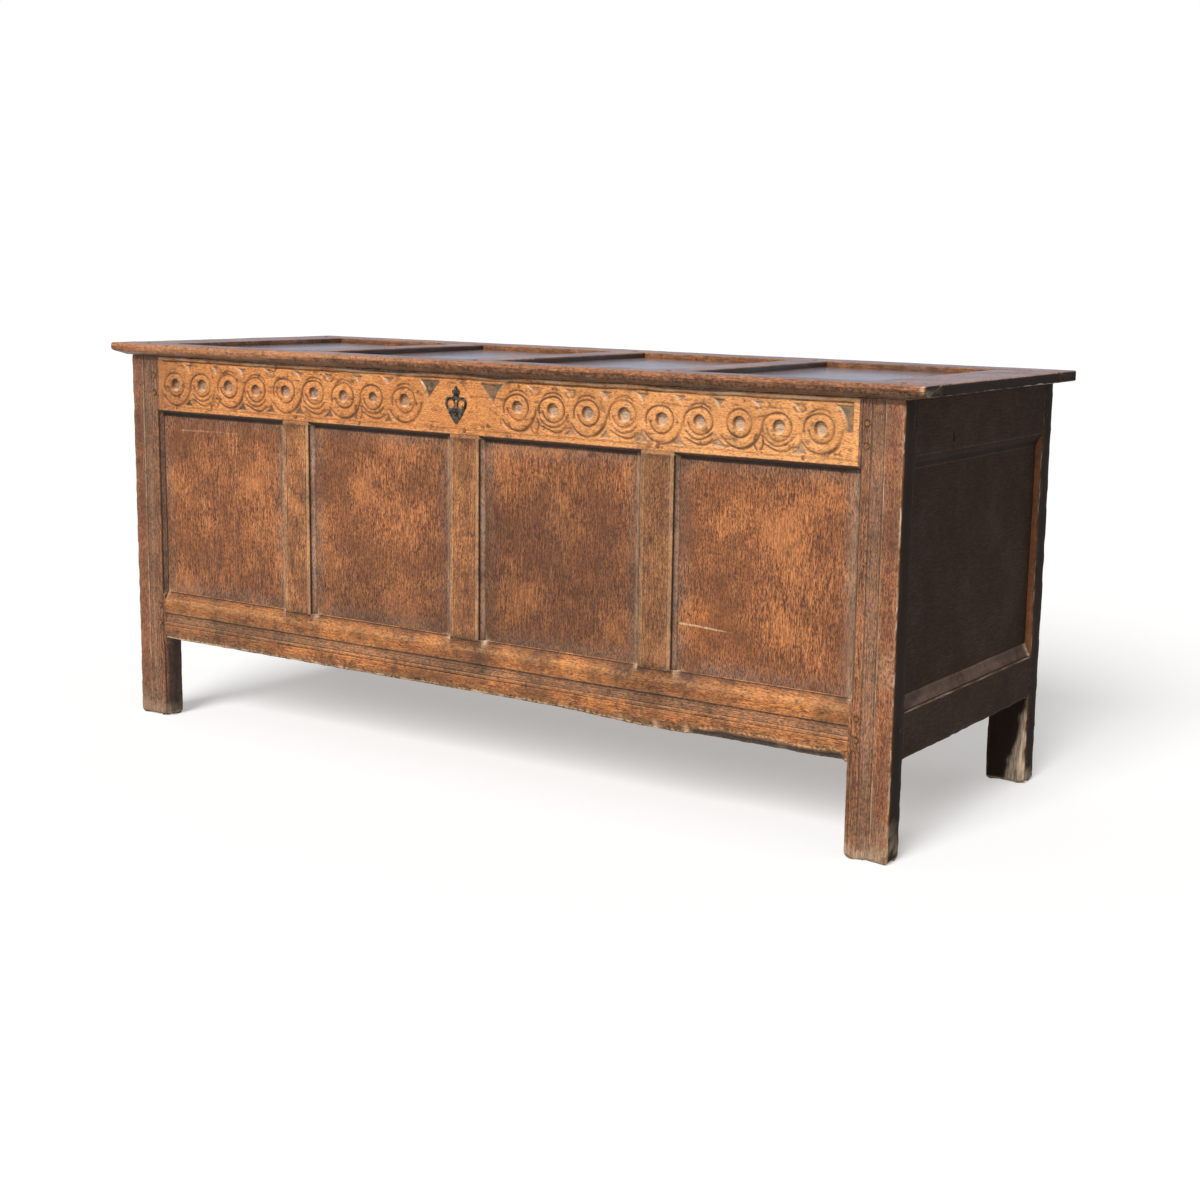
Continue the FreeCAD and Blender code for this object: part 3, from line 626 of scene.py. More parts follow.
def weatherPost(side, inner, outer, plain=False):
    # the outer side takes the dark finish of the ends and painted shade; the foot is bleached by wet floors
    def weather(x, y, z, paints, spots):
        ragged = unevenness(spots, 26, 9) + 0.5 * unevenness(spots, 9, 10)
        fromInner, fromOuter, fromFront = (x - inner) * side, (outer - x) * side, y - y.min()
        outerSide = fade(3, 0.5, fromOuter)
        behind = fade(2, 4.5, fromFront)
        height = postShape["bleachHeight"] * np.clip(0.5 + 0.6 * ragged, 0.06, 1.3)
        paints["bleach"] = np.clip(1.1 - z / height, 0, 1) * postShape["bleached"][side]
        # chips of paler wood along the outer arris
        chips = smoothStep(0.05, 0.5, unevenness(spots, 15, 26) + 0.6 * unevenness(spots, 6, 27))
        deepen(paints, bleach=fade(2.6, 1.2, fromOuter) * fade(2.6, 1.2, fromFront) * chips)
        darkHigh, darkening = postShape["footShade"]
        footDarkening = darkening * smoothStep(darkHigh, 0.3 * darkHigh, z + 50 * mm * ragged)
        paints["shade"] = np.maximum(outerSide * behind, np.maximum(footDarkening, postShape["tones"][side]))
        if plain:
            # painted sunlight on the side that faces forward, and the back is dusty
            ahead = fade(1.6, 0.6, fromFront)
            low = fade(20, 0, z - railUnder)
            paints["warm"] = ahead * (1 - 0.6 * outerSide) * (1 - low)
            # below the rail it is painted black shadow, but for a painted sunlit wedge at the outer side of
            # the foot
            wedge = fromOuter - 0.24 * (railUnder + 8 * mm - z) + 5 * mm * ragged
            wedge = fade(4, -3, wedge) * ahead * low
            deepen(paints, shade=0.9 * ahead * low * (1 - wedge))
            paints["bleach"] = np.maximum(paints["bleach"] * (1 - ahead * (1 - wedge)), 0.85 * wedge)
            paints["haze"] = np.maximum(wedge, fade(1.6, 0.6, y.max() - y))
            return
        face = 1 - behind
        beside = fromInner < frontMoulding["width"]
        fromChannel = fromInner - postShape["channelFrom"] - postShape["channelWide"]
        channel = fade(0, 1.5, fromInner - postShape["channelFrom"]) * fade(0, 1.5, -fromChannel)
        # grey on the moulding beside the panel: dust and painted sky-lit shade
        moulded = fade(0.5, 2, y - faceY) * beside * (z > openLow - 8 * mm)
        paints["dirt"] = paints["dirt"] * (1 - 0.4 * (fromInner > frontMoulding["width"]))
        # painted shadow on the inner side of the foot, under the rail
        innerSide = fade(3, 1, fromInner) * fade(3, 8, y - faceY)
        deepen(paints, shade=0.95 * fade(4, -8, z - railUnder) * innerSide)
        # red outer strip, pale line between it and the channel, flecks down to the fresh wood
        strip = fade(0.5, 3, fromChannel) * face
        paints["warm"] = 0.7 * strip
        pale = fade(1.7, 0.5, np.abs(fromChannel)) * face
        deepen(paints, bleach=0.45 * pale * np.clip(0.55 + 0.8 * unevenness(spots, 45, 45), 0, 1))
        middle, reach = postShape["flecks"]
        flecks = strip * smoothStep(reach, 0.3 * reach, np.abs(z - middle) + 12 * mm * ragged) * (side > 0)
        foot = fade(75, 15, z + 40 * mm * ragged) * face
        deepen(paints, wear=np.maximum(0.75 * flecks, 0.3 * foot))
        grey = 0.45 * smoothStep(*postShape["greyFrom"], z + 60 * mm * ragged)
        paints["haze"] = np.maximum(np.maximum(0.55 * channel, grey) * face, moulded)
        # the wood has shrunk back round each peg
        for level in pegLevels:
            away = np.hypot(fromInner - postShape["pegIn"], z - level) / postShape["pegHalf"]
            hollow = smoothStep(1.9, 1.0, away) * face
            y += postShape["pegHollow"] * hollow
            deepen(paints, dirt=0.9 * hollow)
    return weather


def makePosts():
    width = frontMoulding["width"]
    moulded = [(openLow, openHigh)]
    nearPegs = [level + k * postShape["pegStep"] for level in pegLevels for k in range(-5, 6)]
    for word, side in bothSides:
        low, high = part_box("front_" + word + "_post")
        inner = side * innerX
        outer = high.x if side > 0 else low.x

        def section(z):
            share = mouldingShare(z, moulded)
            if side < 0:
                share = max(share, 0.9 * float(fade(*postShape["lost"], z - railUnder)))
            depth = frontMoulding["depth"] * share
            start = inner + side * postShape["channelFrom"]
            stop = start + side * postShape["channelWide"]
            deep = faceY + postShape["channelDeep"]
            quirk = frontMoulding["quirk"] * share
            corners = [(inner, high.y, 1.5), (inner, faceY + depth, 0.8),
                       (inner + side * width * (1 - share), faceY + depth, 0.5),
                       (inner + side * width * (1 - 0.12 * share), faceY + quirk, 0.5),
                       (inner + side * width, faceY, 0.7), (start, faceY, 0.6),
                       (start + side * mm, deep, 0.5)]
            inset, half = side * postShape["lineInset"], side * postShape["lineHalf"]
            for middle in (start + inset, stop - inset):
                corners += [(middle - half, deep, 0.3), (middle, deep + postShape["lineDeep"], 0.3),
                            (middle + half, deep, 0.3)]
            return corners + [(stop - side * mm, deep, 0.5), (stop, faceY, 0.6),
                              (outer, faceY, postShape["arris"], 0.8), (outer, high.y, 2, 0.7)]

        stations = spanStations(low.z, high.z, postShape["frontStep"], mitreStations(moulded) + nearPegs)
        # the outer side takes the dark end finish: painted shade
        sweepBoard("front_" + word + "_post", "Z", stations, section, "frame", "oak_frame",
                   rounds=(postShape["foot"], 1), fine={4: postShape["faceStep"]}, endNick=1.0,
                   after=weatherPost(side, inner, outer), seed=3 + side,
                   others=[("end", lambda points: np.abs(points[:, 0] - outer) < 1.4 * mm)])
    for word, side in bothSides:
        low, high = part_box("back_" + word + "_post")
        inner, outer = (low.x, high.x) if side > 0 else (high.x, low.x)
        # the back posts take the dark end finish throughout: painted shade
        sweepBoard("back_" + word + "_post", "Z", spanStations(low.z, high.z, postShape["backStep"]),
                   plainSection(low.x, high.x, low.y, high.y, 2.4, 1.4), "end", "oak_frame",
                   rounds=(postShape["foot"], 1), fine={0: 4 * mm}, endNick=1.0,
                   after=weatherPost(side, inner, outer, True), seed=6 + side)


makePosts()
print("stage: posts made")


# front rails
baseRail = {
    "flatBelow": 23 * mm,    # under the channel
    "channelWide": 23 * mm,
    "channelDeep": 1.8 * mm,
    "bead": 5 * mm,          # at the channel's lower edge
    "beadDown": 0.3 * mm,    # under the face
    "lineDown": 6 * mm,      # a fine line in the channel: under its upper edge, and how deep
    "lineDeep": 0.7 * mm,
    "raggedEdge": 2.4,       # bruises along the lower arris, mm
    "bevel": 15 * mm,        # sloped top edge under each panel
    "broken": (0.40, 0.66),  # stretch of the lower edge that has split away, metres
    "brokenHigh": 13 * mm,
    "brokenIn": 8 * mm,
    "hang": 6 * mm,          # towards the right the rail is left a little deeper
    "hangFrom": (0.16, 0.36),
    "meshStep": 3.5 * mm,
    "edgeStep": 1.6 * mm,
}
circles = {
    "pitch": 63.2 * mm,
    "perSide": 9,
    "leftFirst": -624 * mm,
    "rightFirst": 101 * mm,
    "height": 585 * mm,
    "eye": 9.5 * mm,
    "eyeDeep": 6 * mm,
    "ring": 19.6 * mm,
    "spiralOut": 7.5 * mm,    # the ring winds out to the left, to meet the sweep of the circle before it
    "sweep": 34 * mm,         # the band's outer line, under a circle
    "grooveWide": 1.9 * mm,   # half width of a cut line
    "grooveDeep": 2.2 * mm,
    "shoulder": 4.5 * mm,     # bands round off towards the cuts
    "shoulderDeep": 1.1 * mm,
    "groundDeep": 3 * mm,
    "arch": 38.5 * mm,        # outer edge of the band over a circle
    "slope": 3.8 * mm,        # the ground slopes away from its right side, pale where it catches the light
    "bandHalf": 36 * mm,
    "crown": 5.6 * mm,        # a cut over the ring, beyond it
    "underLeaf": 6.5 * mm,    # leaves laid under a circle: beyond the ring, then their lobed outer line
    "lobed": (33 * mm, 2 * mm),
    "tip": (28 * mm, -31 * mm, 5.5 * mm),      # their curled tip: across, up, radius
    "leaf": (26 * mm, 8 * mm, 4.6 * mm),       # left standing in the ground: up, half sizes
    "triangleHigh": (17, 7),                   # least and how much more, mm
    "triangleHalf": (10, 4),
    "bud": (7.5 * mm, 26 * mm, 24 * mm),       # half width, length, how far it is cut
    "borders": ((2.4 * mm, 0.85), (2.6 * mm, 0.35)),    # scribed above and below: beyond the bands, depth
    "drift": 1.6 * mm,        # how far a hand cut circle strays
    "waver": 1.3 * mm,        # and how far its line wavers
    "meshStep": 1.25 * mm,
    # sunk corners: the circle beside them and how near they come to it, then two points of their far edge,
    # each as across and up from the middle of the rail's carving
    "corners": [(-118 * mm, 44 * mm, (-47 * mm, 31 * mm), (-72 * mm, 2 * mm)),
                (98 * mm, 40 * mm, (30 * mm, 31 * mm), (62 * mm, -10 * mm)),
                (606.6 * mm, 39 * mm, (656 * mm, 36 * mm), (656 * mm, 2 * mm))],
}


def carveDepth(x, z):
    # depth of cut, dark ground, pale hollow, dark cut line with painted shadow, and pale edge of wear and
    # painted highlight, at each point of the rail's face
    cut, ground, pale, line, paleEdge = (np.zeros_like(x) for k in range(5))
    luck = np.random.default_rng(17)
    half, pitch, ring = circles["bandHalf"], circles["pitch"], circles["ring"]
    spots = np.stack([x, np.zeros_like(x), z], axis=-1)
    x = x + circles["waver"] * unevenness(spots, 21, 14)
    level = z - circles["height"] + circles["waver"] * unevenness(spots, 21, 15)
    filled = np.clip(0.8 + 0.55 * unevenness(spots, 19, 32), 0.3, 1)     # how much grime a line still holds

    def groove(distance, present=1.0, share=1.0, wide=1.0):
        nonlocal cut, line
        shape = np.clip(1 - np.abs(distance) / (wide * circles["grooveWide"]), 0, 1) * present
        shoulder = np.exp(-(distance / circles["shoulder"]) ** 2) * present
        cut = np.maximum(cut, share * (circles["grooveDeep"] * shape + circles["shoulderDeep"] * shoulder))
        line = np.maximum(line, np.sqrt(shape) * share * filled)

    def sink(field, dark):
        nonlocal cut, ground, pale
        cut = np.maximum(cut, circles["groundDeep"] * field)
        ground = np.maximum(ground, dark * field)
        pale = np.maximum(pale, (1 - dark) * field)

    for first in (circles["leftFirst"], circles["rightFirst"]):
        centres = []
        for k in range(circles["perSide"]):
            stray = luck.uniform(-1, 1, 6)
            cx = first + k * pitch + stray[0] * circles["drift"]
            centres.append(cx)
            dx = x - cx
            dz = level - stray[1] * circles["drift"]
            r = np.hypot(dx, dz)
            angle = np.degrees(np.arctan2(dz, dx))
            turn = angle % 360
            # a sunk eye with steep walls and a pale floor
            eye = r / (circles["eye"] * (1 + 0.08 * stray[2]))
            cut = np.maximum(cut, circles["eyeDeep"] * (1 - smoothStep(0.76, 1.02, eye)))
            pale = np.maximum(pale, 1 - smoothStep(0.72, 0.88, eye))
            # its wall takes a painted shadow at the upper left and a painted highlight at the lower right
            shadowed = 0.5 + 0.5 * np.cos(np.radians(angle - 118))
            wall = between(eye, 0.78, 1.06, 0.07)
            line = np.maximum(line, (0.2 + 0.8 * shadowed) * wall)
            paleEdge = np.maximum(paleEdge, 0.7 * np.clip(1 - 2.2 * shadowed, 0, 1) * wall)
            # the ring, wound out to the left on most circles
            loose = mm * (0.8 * stray[3] + 1.0 * np.sin(np.radians(angle) + 3 * stray[4]))
            if stray[5] > -0.5:
                groove(r - ring - loose, between(angle, -172, 104, 5))
                out = circles["spiralOut"] * smoothStep(92, 190, turn)
                groove(r - ring - loose - out, between(turn, 92, 202, 6))
            else:
                groove(r - ring - loose)
            if k % 2 == 0:
                # wide sweep under the circle and up its right side
                swept = np.hypot(dx, dz * 0.97) - circles["sweep"]
                groove(swept, between(angle, -148, -3, 6))
                groove(swept, between(angle, -78, -22, 16), 1.0, 1.7)
            else:
                # or two leaves laid under it, with a curled tip
                groove(r - ring - circles["underLeaf"], between(angle, -146, -34, 6), 0.85)
                outer, lobe = circles["lobed"]
                groove(r - outer - lobe * np.sin(np.radians(4 * angle)), between(angle, -132, -46, 6), 0.9)
                across, up, curl = circles["tip"]
                groove(np.hypot(dx - across, dz - up) - curl, fade(-32, -29, dz), 0.8)
            # a cut over the crown of some
            if stray[4] > -0.2:
                groove(r - ring - circles["crown"], between(angle, 48 + 14 * stray[2], 132, 8), 0.95)
        for before, after in zip(centres, centres[1:]):
            mid = 0.5 * (before + after)
            kind = luck.uniform(0, 1, 4)
            leftArch = np.hypot(x - before, level) - circles["arch"] + 1.5 * mm * kind[2]
            rightArch = np.hypot(x - after, level) - circles["arch"] - 1.5 * mm * kind[3]
            # ground sunk between two arches, sometimes with a leaf left standing in it
            field = smoothStep(0, circles["slope"], leftArch) * fade(0, 1.2, rightArch)
            field = field * fade(0, 1.2, half - 2 * mm - level)
            field = field * (np.abs(x - mid) < 0.5 * pitch) * (level > 0)
            lean = np.degrees(np.arctan2(level, x - before))
            # painted highlight, with dust, on the slope at the upper right of each arch, where it faces the
            # light
            edge = between(leftArch, 0, 0.75 * circles["slope"], 0.9 * mm)
            edge = edge * between(lean, 31, 66, 5) * (level < half)
            cut = np.maximum(cut, 0.5 * circles["groundDeep"] * edge)
            broken = np.clip(0.7 + unevenness(spots, 8, 41), 0.2, 1)
            paleEdge = np.maximum(paleEdge, (0.3 + 0.45 * kind[3]) * edge * broken)
            if kind[0] > 0.62:
                up, wide, high = circles["leaf"]
                leaf = np.hypot((x - mid) / wide, (level - up) / high)
                field = field * smoothStep(0.95, 1.25, leaf)
                groove((leaf - 1) * 5 * mm, 1.0, 0.7)
            sink(field, 0.25 + 0.5 * kind[1])
            # dark triangle below, darkened further with painted shade, or a bud between two cut lines
            if kind[1] > 0.3:
                (high, higher), (wide, wider) = circles["triangleHigh"], circles["triangleHalf"]
                rise = np.clip((level + half) / ((high + higher * kind[2]) * mm), 0, 1)
                side = (wide + wider * kind[3]) * mm * (1 - rise) ** 1.7
                leaning = x - mid - 9 * mm * (kind[0] - 0.35) * rise
                field = fade(0, 1.4, side - np.abs(leaning)) * fade(0, 1.2, level + half - 1 * mm)
                black = 0.85 if mid < 0 else 0.5
                sink(field, black)
                line = np.maximum(line, (black - 0.45) * field)
            else:
                wide, long, cutLong = circles["bud"]
                waist = wide * np.sin(np.clip((level + half) / long, 0, 1) * math.pi) ** 0.6
                groove(np.abs(x - mid) - waist, between(level, -half + 1 * mm, -half + cutLong, 1 * mm))
    # dark sunk corners beside the plain ogee of the lock, and at the right end
    for circleX, near, upper, lower in circles["corners"]:
        away = 1 if lower[0] > circleX else -1
        rise = np.clip((level - lower[1]) / (upper[1] - lower[1]), 0, 1)
        edge = lower[0] + (upper[0] - lower[0]) * rise ** 1.3
        gap = np.hypot(x - circleX, level) - near
        field = fade(0, 1.6, (edge - x) * away) * fade(0, 1.6, gap) * ((x - circleX) * away > 0)
        field = field * fade(0, 1.5, half - 1 * mm - level) * (level > lower[1] - 4 * mm)
        sink(field, 0.9)
        rim = between(gap, 0, 2 * mm, 0.8 * mm) * (field > 0.2)
        paleEdge = np.maximum(paleEdge, rim * np.clip(0.55 + unevenness(spots, 10, 42), 0.15, 0.9))
    # bruises, splits along the grain and worm holes of four centuries
    pits = unevenness(spots, 9, 24) + 0.7 * unevenness(spots, 4, 25)
    splits = unevenness(spots * (0.16, 1, 1), 3.2, 33)
    cut = cut + 0.7 * mm * np.clip(pits - 0.35, 0, 1) + 0.5 * mm * smoothStep(0.5, 0.8, splits)
    line = np.maximum(line, np.maximum(0.8 * smoothStep(0.7, 1.0, pits), 0.6 * smoothStep(0.52, 0.8, splits)))
    # scribed lines along the border
    for way, (beyond, share) in zip((1, -1), circles["borders"]):
        groove(way * level - half - beyond, 1.0, share)
    return cut, ground, pale, line, paleEdge


def makeFrontRails():
    width, depth = frontMoulding["width"], frontMoulding["depth"]
    back, top = topRail[1].y, topRail[1].z

    def carvedSection(x):
        share = mouldingShare(x, bayEdges)
        return [(faceY, openHigh + width, 0.9), (faceY + depth * share, openHigh + width * (1 - share), 0.5),
                (faceY + depth * share, openHigh, 0.8), (back, openHigh, 1.2), (back, top, 1.2),
                (faceY, top, 0.9)]

    def carve(y, z, x, paints, spots):
        spots = spots * (1, 0, 1)
        onFace = y < faceY + 1.2 * mm
        cut, ground, pale, line, paleEdge = carveDepth(x, z)
        clear = fade(0, 2, z - openHigh - width) * fade(0, 2, top - 1.5 * mm - z)
        clear = clear * fade(0, 4, innerX - 7 * mm - np.abs(x)) * onFace
        y += cut * clear
        paints["ground"] = ground * clear
        paints["haze"] = pale * clear
        # pale rims round the sunk ground, painted as wear and highlight; a black painted shadow under the
        # lid's edge
        sunk = ground + pale
        deepen(paints, wear=1.6 * np.clip(sunk * (1 - sunk), 0, 1) * clear)
        reach = top + 2.5 * mm * unevenness(spots, 60, 16) - z
        lidShadowAndGrime = fade(4.5, 2.5, reach)
        # grime gathers where the muntins meet the rail
        for middle in muntinMiddles:
            beside = np.abs(x - middle) - 30 * mm + 6 * mm * unevenness(spots, 12, 35)
            above = z - openHigh + 6 * mm * unevenness(spots, 15, 36)
            lidShadowAndGrime = np.maximum(lidShadowAndGrime, 0.5 * fade(5, -3, beside) * fade(15, 3, above))
        deepen(paints, dirt=np.maximum(line * (1 - pale) * clear, lidShadowAndGrime))
        # pale edges, painted as wear and highlight, and a pale strip above the scribed line
        strip = fade(8, 6.5, reach) * fade(2.5, 4, reach) * onFace
        strip = strip * np.clip(0.55 + unevenness(spots, 22, 34), 0, 1)
        paints["bleach"] = np.maximum(paleEdge * clear, 0.5 * strip)
        # painted shadow on the bevel and underside below the carved face
        paints["shade"] = fade(0.6, 1.6, y - faceY) * (z < openHigh + width)
        # the left end is the most weathered, and the right half the most faded
        deepen(paints, shade=0.3 * fade(-540, -650, x + 30 * mm * unevenness(spots, 35, 17)))
        faded = fade(-50, 450, x + 60 * mm * unevenness(spots, 80, 43))
        paints["warm"] = faded * onFace * (1 - paints["haze"])
        deepen(paints, bleach=0.4 * faded * paints["haze"])

    stations = spanStations(-innerX, innerX, circles["meshStep"], mitreStations(bayEdges))
    sweepBoard("front_top_rail", "X", stations, carvedSection, "carved", "carved_oak", kind="carved",
               rounds=(0.5, 0.5), fine={5: circles["meshStep"]}, after=carve, seed=5, dry=(0, 1))

    start = railUnder + baseRail["flatBelow"]
    stop = start + baseRail["channelWide"]
    deep = faceY + baseRail["channelDeep"]
    first, last = baseRail["broken"]
    beadTop = start + baseRail["bead"]

    def splitShare(x):
        ragged = float(unevenness(np.array([[x, 0.0, 0.0]]), 30, 8)[0])
        inside = smoothStep(first, first + 25 * mm, x) * (1 - smoothStep(last - 6 * mm, last, x))
        return float(np.clip(inside * (0.85 + 0.35 * ragged), 0.0, 1.2)) + 0.12 * (1 + ragged)

    def baseSection(x):
        slope = depth * mouldingShare(x, bayEdges)
        split = splitShare(x)
        under = railUnder - baseRail["hang"] * float(smoothStep(*baseRail["hangFrom"], x))
        lineTop, lineDeep = stop - baseRail["lineDown"], baseRail["lineDeep"]
        bead = faceY + baseRail["beadDown"]
        return [(faceY, under + 1.5 * mm + baseRail["brokenHigh"] * split, 1.2, baseRail["raggedEdge"]),
                (faceY + 1 * mm + baseRail["brokenIn"] * split, under, 1.2, 1),
                (back, under, 1.5), (back, openLow, 1.2), (faceY + slope, openLow, 0.8),
                (faceY + 0.9 * slope, openLow - 1.5 * mm, 0.8), (faceY, openLow - baseRail["bevel"], 3),
                (faceY, stop, 0.6), (deep, stop - 1 * mm, 0.5),
                # a fine line in the channel, then the bead between two more
                (deep, lineTop, 0.3), (deep + lineDeep, lineTop - lineDeep, 0.3),
                (deep, lineTop - 2 * lineDeep, 0.3), (deep, beadTop + 3 * mm, 0.4),
                (deep + 0.6 * mm, beadTop + 2.2 * mm, 0.3),
                (bead, beadTop + 0.8 * mm, 0.8), (bead, start + 1.6 * mm, 0.8),
                (deep, start + 0.8 * mm, 0.3), (faceY, start, 0.5)]

    def weatherBase(y, z, x, paints, spots):
        inward, rise = y - faceY, z - railUnder
        paints["haze"] = 0.95 * fade(0, 1, z - beadTop) * fade(0, 1, stop - z) * (inward < 4 * mm)
        inside = smoothStep(first, first + 25 * mm, x)
        # painted shadow on the split-away underside of the lower edge
        under = fade(1, 2.5, inward) * (rise < 16 * mm)
        paints["shade"] = under * np.maximum(inside, 0.4)
        stray = 20 * mm * unevenness(spots, 30, 38)
        joint = np.max([fade(75, 18, np.abs(x - middle) + stray) for middle in muntinMiddles], axis=0)
        upper = fade(-2, 2, z - stop) * (inward < 11 * mm)
        patch = smoothStep(-0.5, 0.4, unevenness(spots, 55, 39))
        leftEnd = fade(-380, -560, x)
        paints["warm"] = 0.85 * upper * (1 - joint) * patch * (1 - 0.5 * leftEnd)
        deepen(paints, shade=np.maximum(0.4 * joint * (z > start), 0.38 * leftEnd))
        # dark lower edge, with chips of paler wood
        edge = fade(7, 3.5, rise + 2 * mm * unevenness(spots, 25, 28))
        chips = smoothStep(0.1, 0.55, unevenness(spots, 17, 29) + 0.6 * unevenness(spots, 6, 30))
        deepen(paints, dirt=0.9 * edge * (1 - chips))
        chipped = 0.8 * edge * np.maximum(chips, 0.9 * leftEnd) * fade(6, 2, rise)
        # dust lies pale in the mitres
        corner = np.max([fade(9, 2, np.abs(x - mitre)) for bay in bayEdges for mitre in bay], axis=0)
        dust = 0.7 * corner * fade(2, 5, inward) * (z > openLow - 8 * mm)
        paints["bleach"] = np.maximum(dust, chipped * (1 - 0.75 * under * inside))

    stations = spanStations(-innerX, innerX, baseRail["meshStep"], mitreStations(bayEdges))
    sweepBoard("front_bottom_rail", "X", stations, baseSection, "base", "oak_frame", rounds=(0.5, 0.5),
               fine={0: baseRail["edgeStep"]}, after=weatherBase, seed=7, dry=(0, 1))


makeFrontRails()
print("stage: front rails made")


# muntins and panels of the front
muntinShape = {
    "beadFrom": 12 * mm,
    "beadWide": 1.6 * mm,
    "beadDeep": 0.9 * mm,
    "tones": (0.0, 0.0, 0.4),    # the right one is the darkest
    "meshStep": 9 * mm,
}

# marks on the front panels: a warm rubbed patch, scratches, and which panel is darker than the rest
panelMarks = {
    "warmPatches": {3: (425 * mm, 296 * mm, 75 * mm, 48 * mm)},   # on which panel, middle and half sizes
    # how dark each is above and below, and the heights between which that changes, as shares of the panel
    "tones": ((0.0, 0.26, 0.42, 0.05), (0.02, 0.44, 0.5, 0.05),
              (0.02, 0.42, 0.95, 0.5), (0.0, 0.0, 1.0, 0.0)),
    # on which panel, from and to, strength
    "scratches": {0: (-622 * mm, 507 * mm, -476 * mm, 509 * mm, 0.45),
                  3: (387 * mm, 293.6 * mm, 476 * mm, 289.4 * mm, 1.6)},
    "scratchHigh": 2 * mm,
    "margin": 0.42,
    "darkening": 6 * mm,          # painted shadow: a black line under the top rail
    "rightSides": {1: ("shade", 0.3, 60 * mm), 2: ("shade", 0.5, 24 * mm), 3: ("bleach", 0.2, 24 * mm)},
    "dust": 15 * mm,          # pale dust in the lower corners
    "greyRim": 34 * mm,       # unpolished wood along the edges
    "meshStep": 12 * mm,
    "faceStep": 2.5 * mm,
}


def panelStations(index):
    fine = [openHigh - k * mm for k in range(0, 16, 2)] + [openLow + k * mm for k in range(0, 18, 3)]
    if index in panelMarks["scratches"]:
        level = panelMarks["scratches"][index][1]
        fine += [level + k * 0.8 * mm for k in range(-9, 6)]
    return fine


def agePanel(index):
    left, right = bayEdges[index]

    def age(x, y, z, paints, spots):
        spots = spots * (1, 0, 1)
        fromRight, rise = right - x, z - openLow
        above, below, begin, end = panelMarks["tones"][index]
        share = rise / (openHigh - openLow) + 0.12 * unevenness(spots, 70, 46)
        paints["shade"] = above + (below - above) * smoothStep(begin, end, share)
        # painted shadow: a black band along the top, under the rail
        darkening = panelMarks["darkening"]
        ragged = 1 + 0.25 * unevenness(spots, 40, 13)
        deepen(paints, dirt=smoothStep(darkening * ragged, 0.55 * darkening, openHigh - z))
        across = np.minimum(x - left, fromRight)
        corner = np.minimum(across, rise) + 0.3 * np.maximum(across, rise)
        paints["bleach"] = 0.75 * smoothStep(0.45 * panelMarks["dust"], 0, corner)
        # dusty margin beside the next upright, black in the joint itself
        margin = fade(9, 6.5, fromRight) * fade(1, 2.5, fromRight)
        margin = margin * np.clip(0.7 + 0.5 * unevenness(spots, 60, 47), 0.2, 1)
        deepen(paints, bleach=panelMarks["margin"] * margin, dirt=0.8 * fade(2, 0.8, fromRight))
        if index in panelMarks["scratches"]:
            x0, z0, x1, z1, strength = panelMarks["scratches"][index]
            part = np.clip((x - x0) / (x1 - x0), 0, 1)
            level = z0 + (z1 - z0) * part + 0.6 * mm * unevenness(spots, 9, 48)
            high = panelMarks["scratchHigh"] * (1 - 0.5 * part)
            ends = fade(-4, 0, x - x0) * fade(0, -30, x - x1)
            deepen(paints, bleach=strength * ends * np.clip(1 - np.abs(z - level) / high, 0, 1))
        if index in panelMarks["rightSides"]:
            paint, strength, reach = panelMarks["rightSides"][index]
            deepen(paints, **{paint: strength * smoothStep(reach, 4 * mm, fromRight)})
        if index in panelMarks["warmPatches"]:
            middleX, middleZ, wide, high = panelMarks["warmPatches"][index]
            paints["warm"] = smoothStep(1.0, 0.2, np.hypot((x - middleX) / wide, (z - middleZ) / high))
    return age


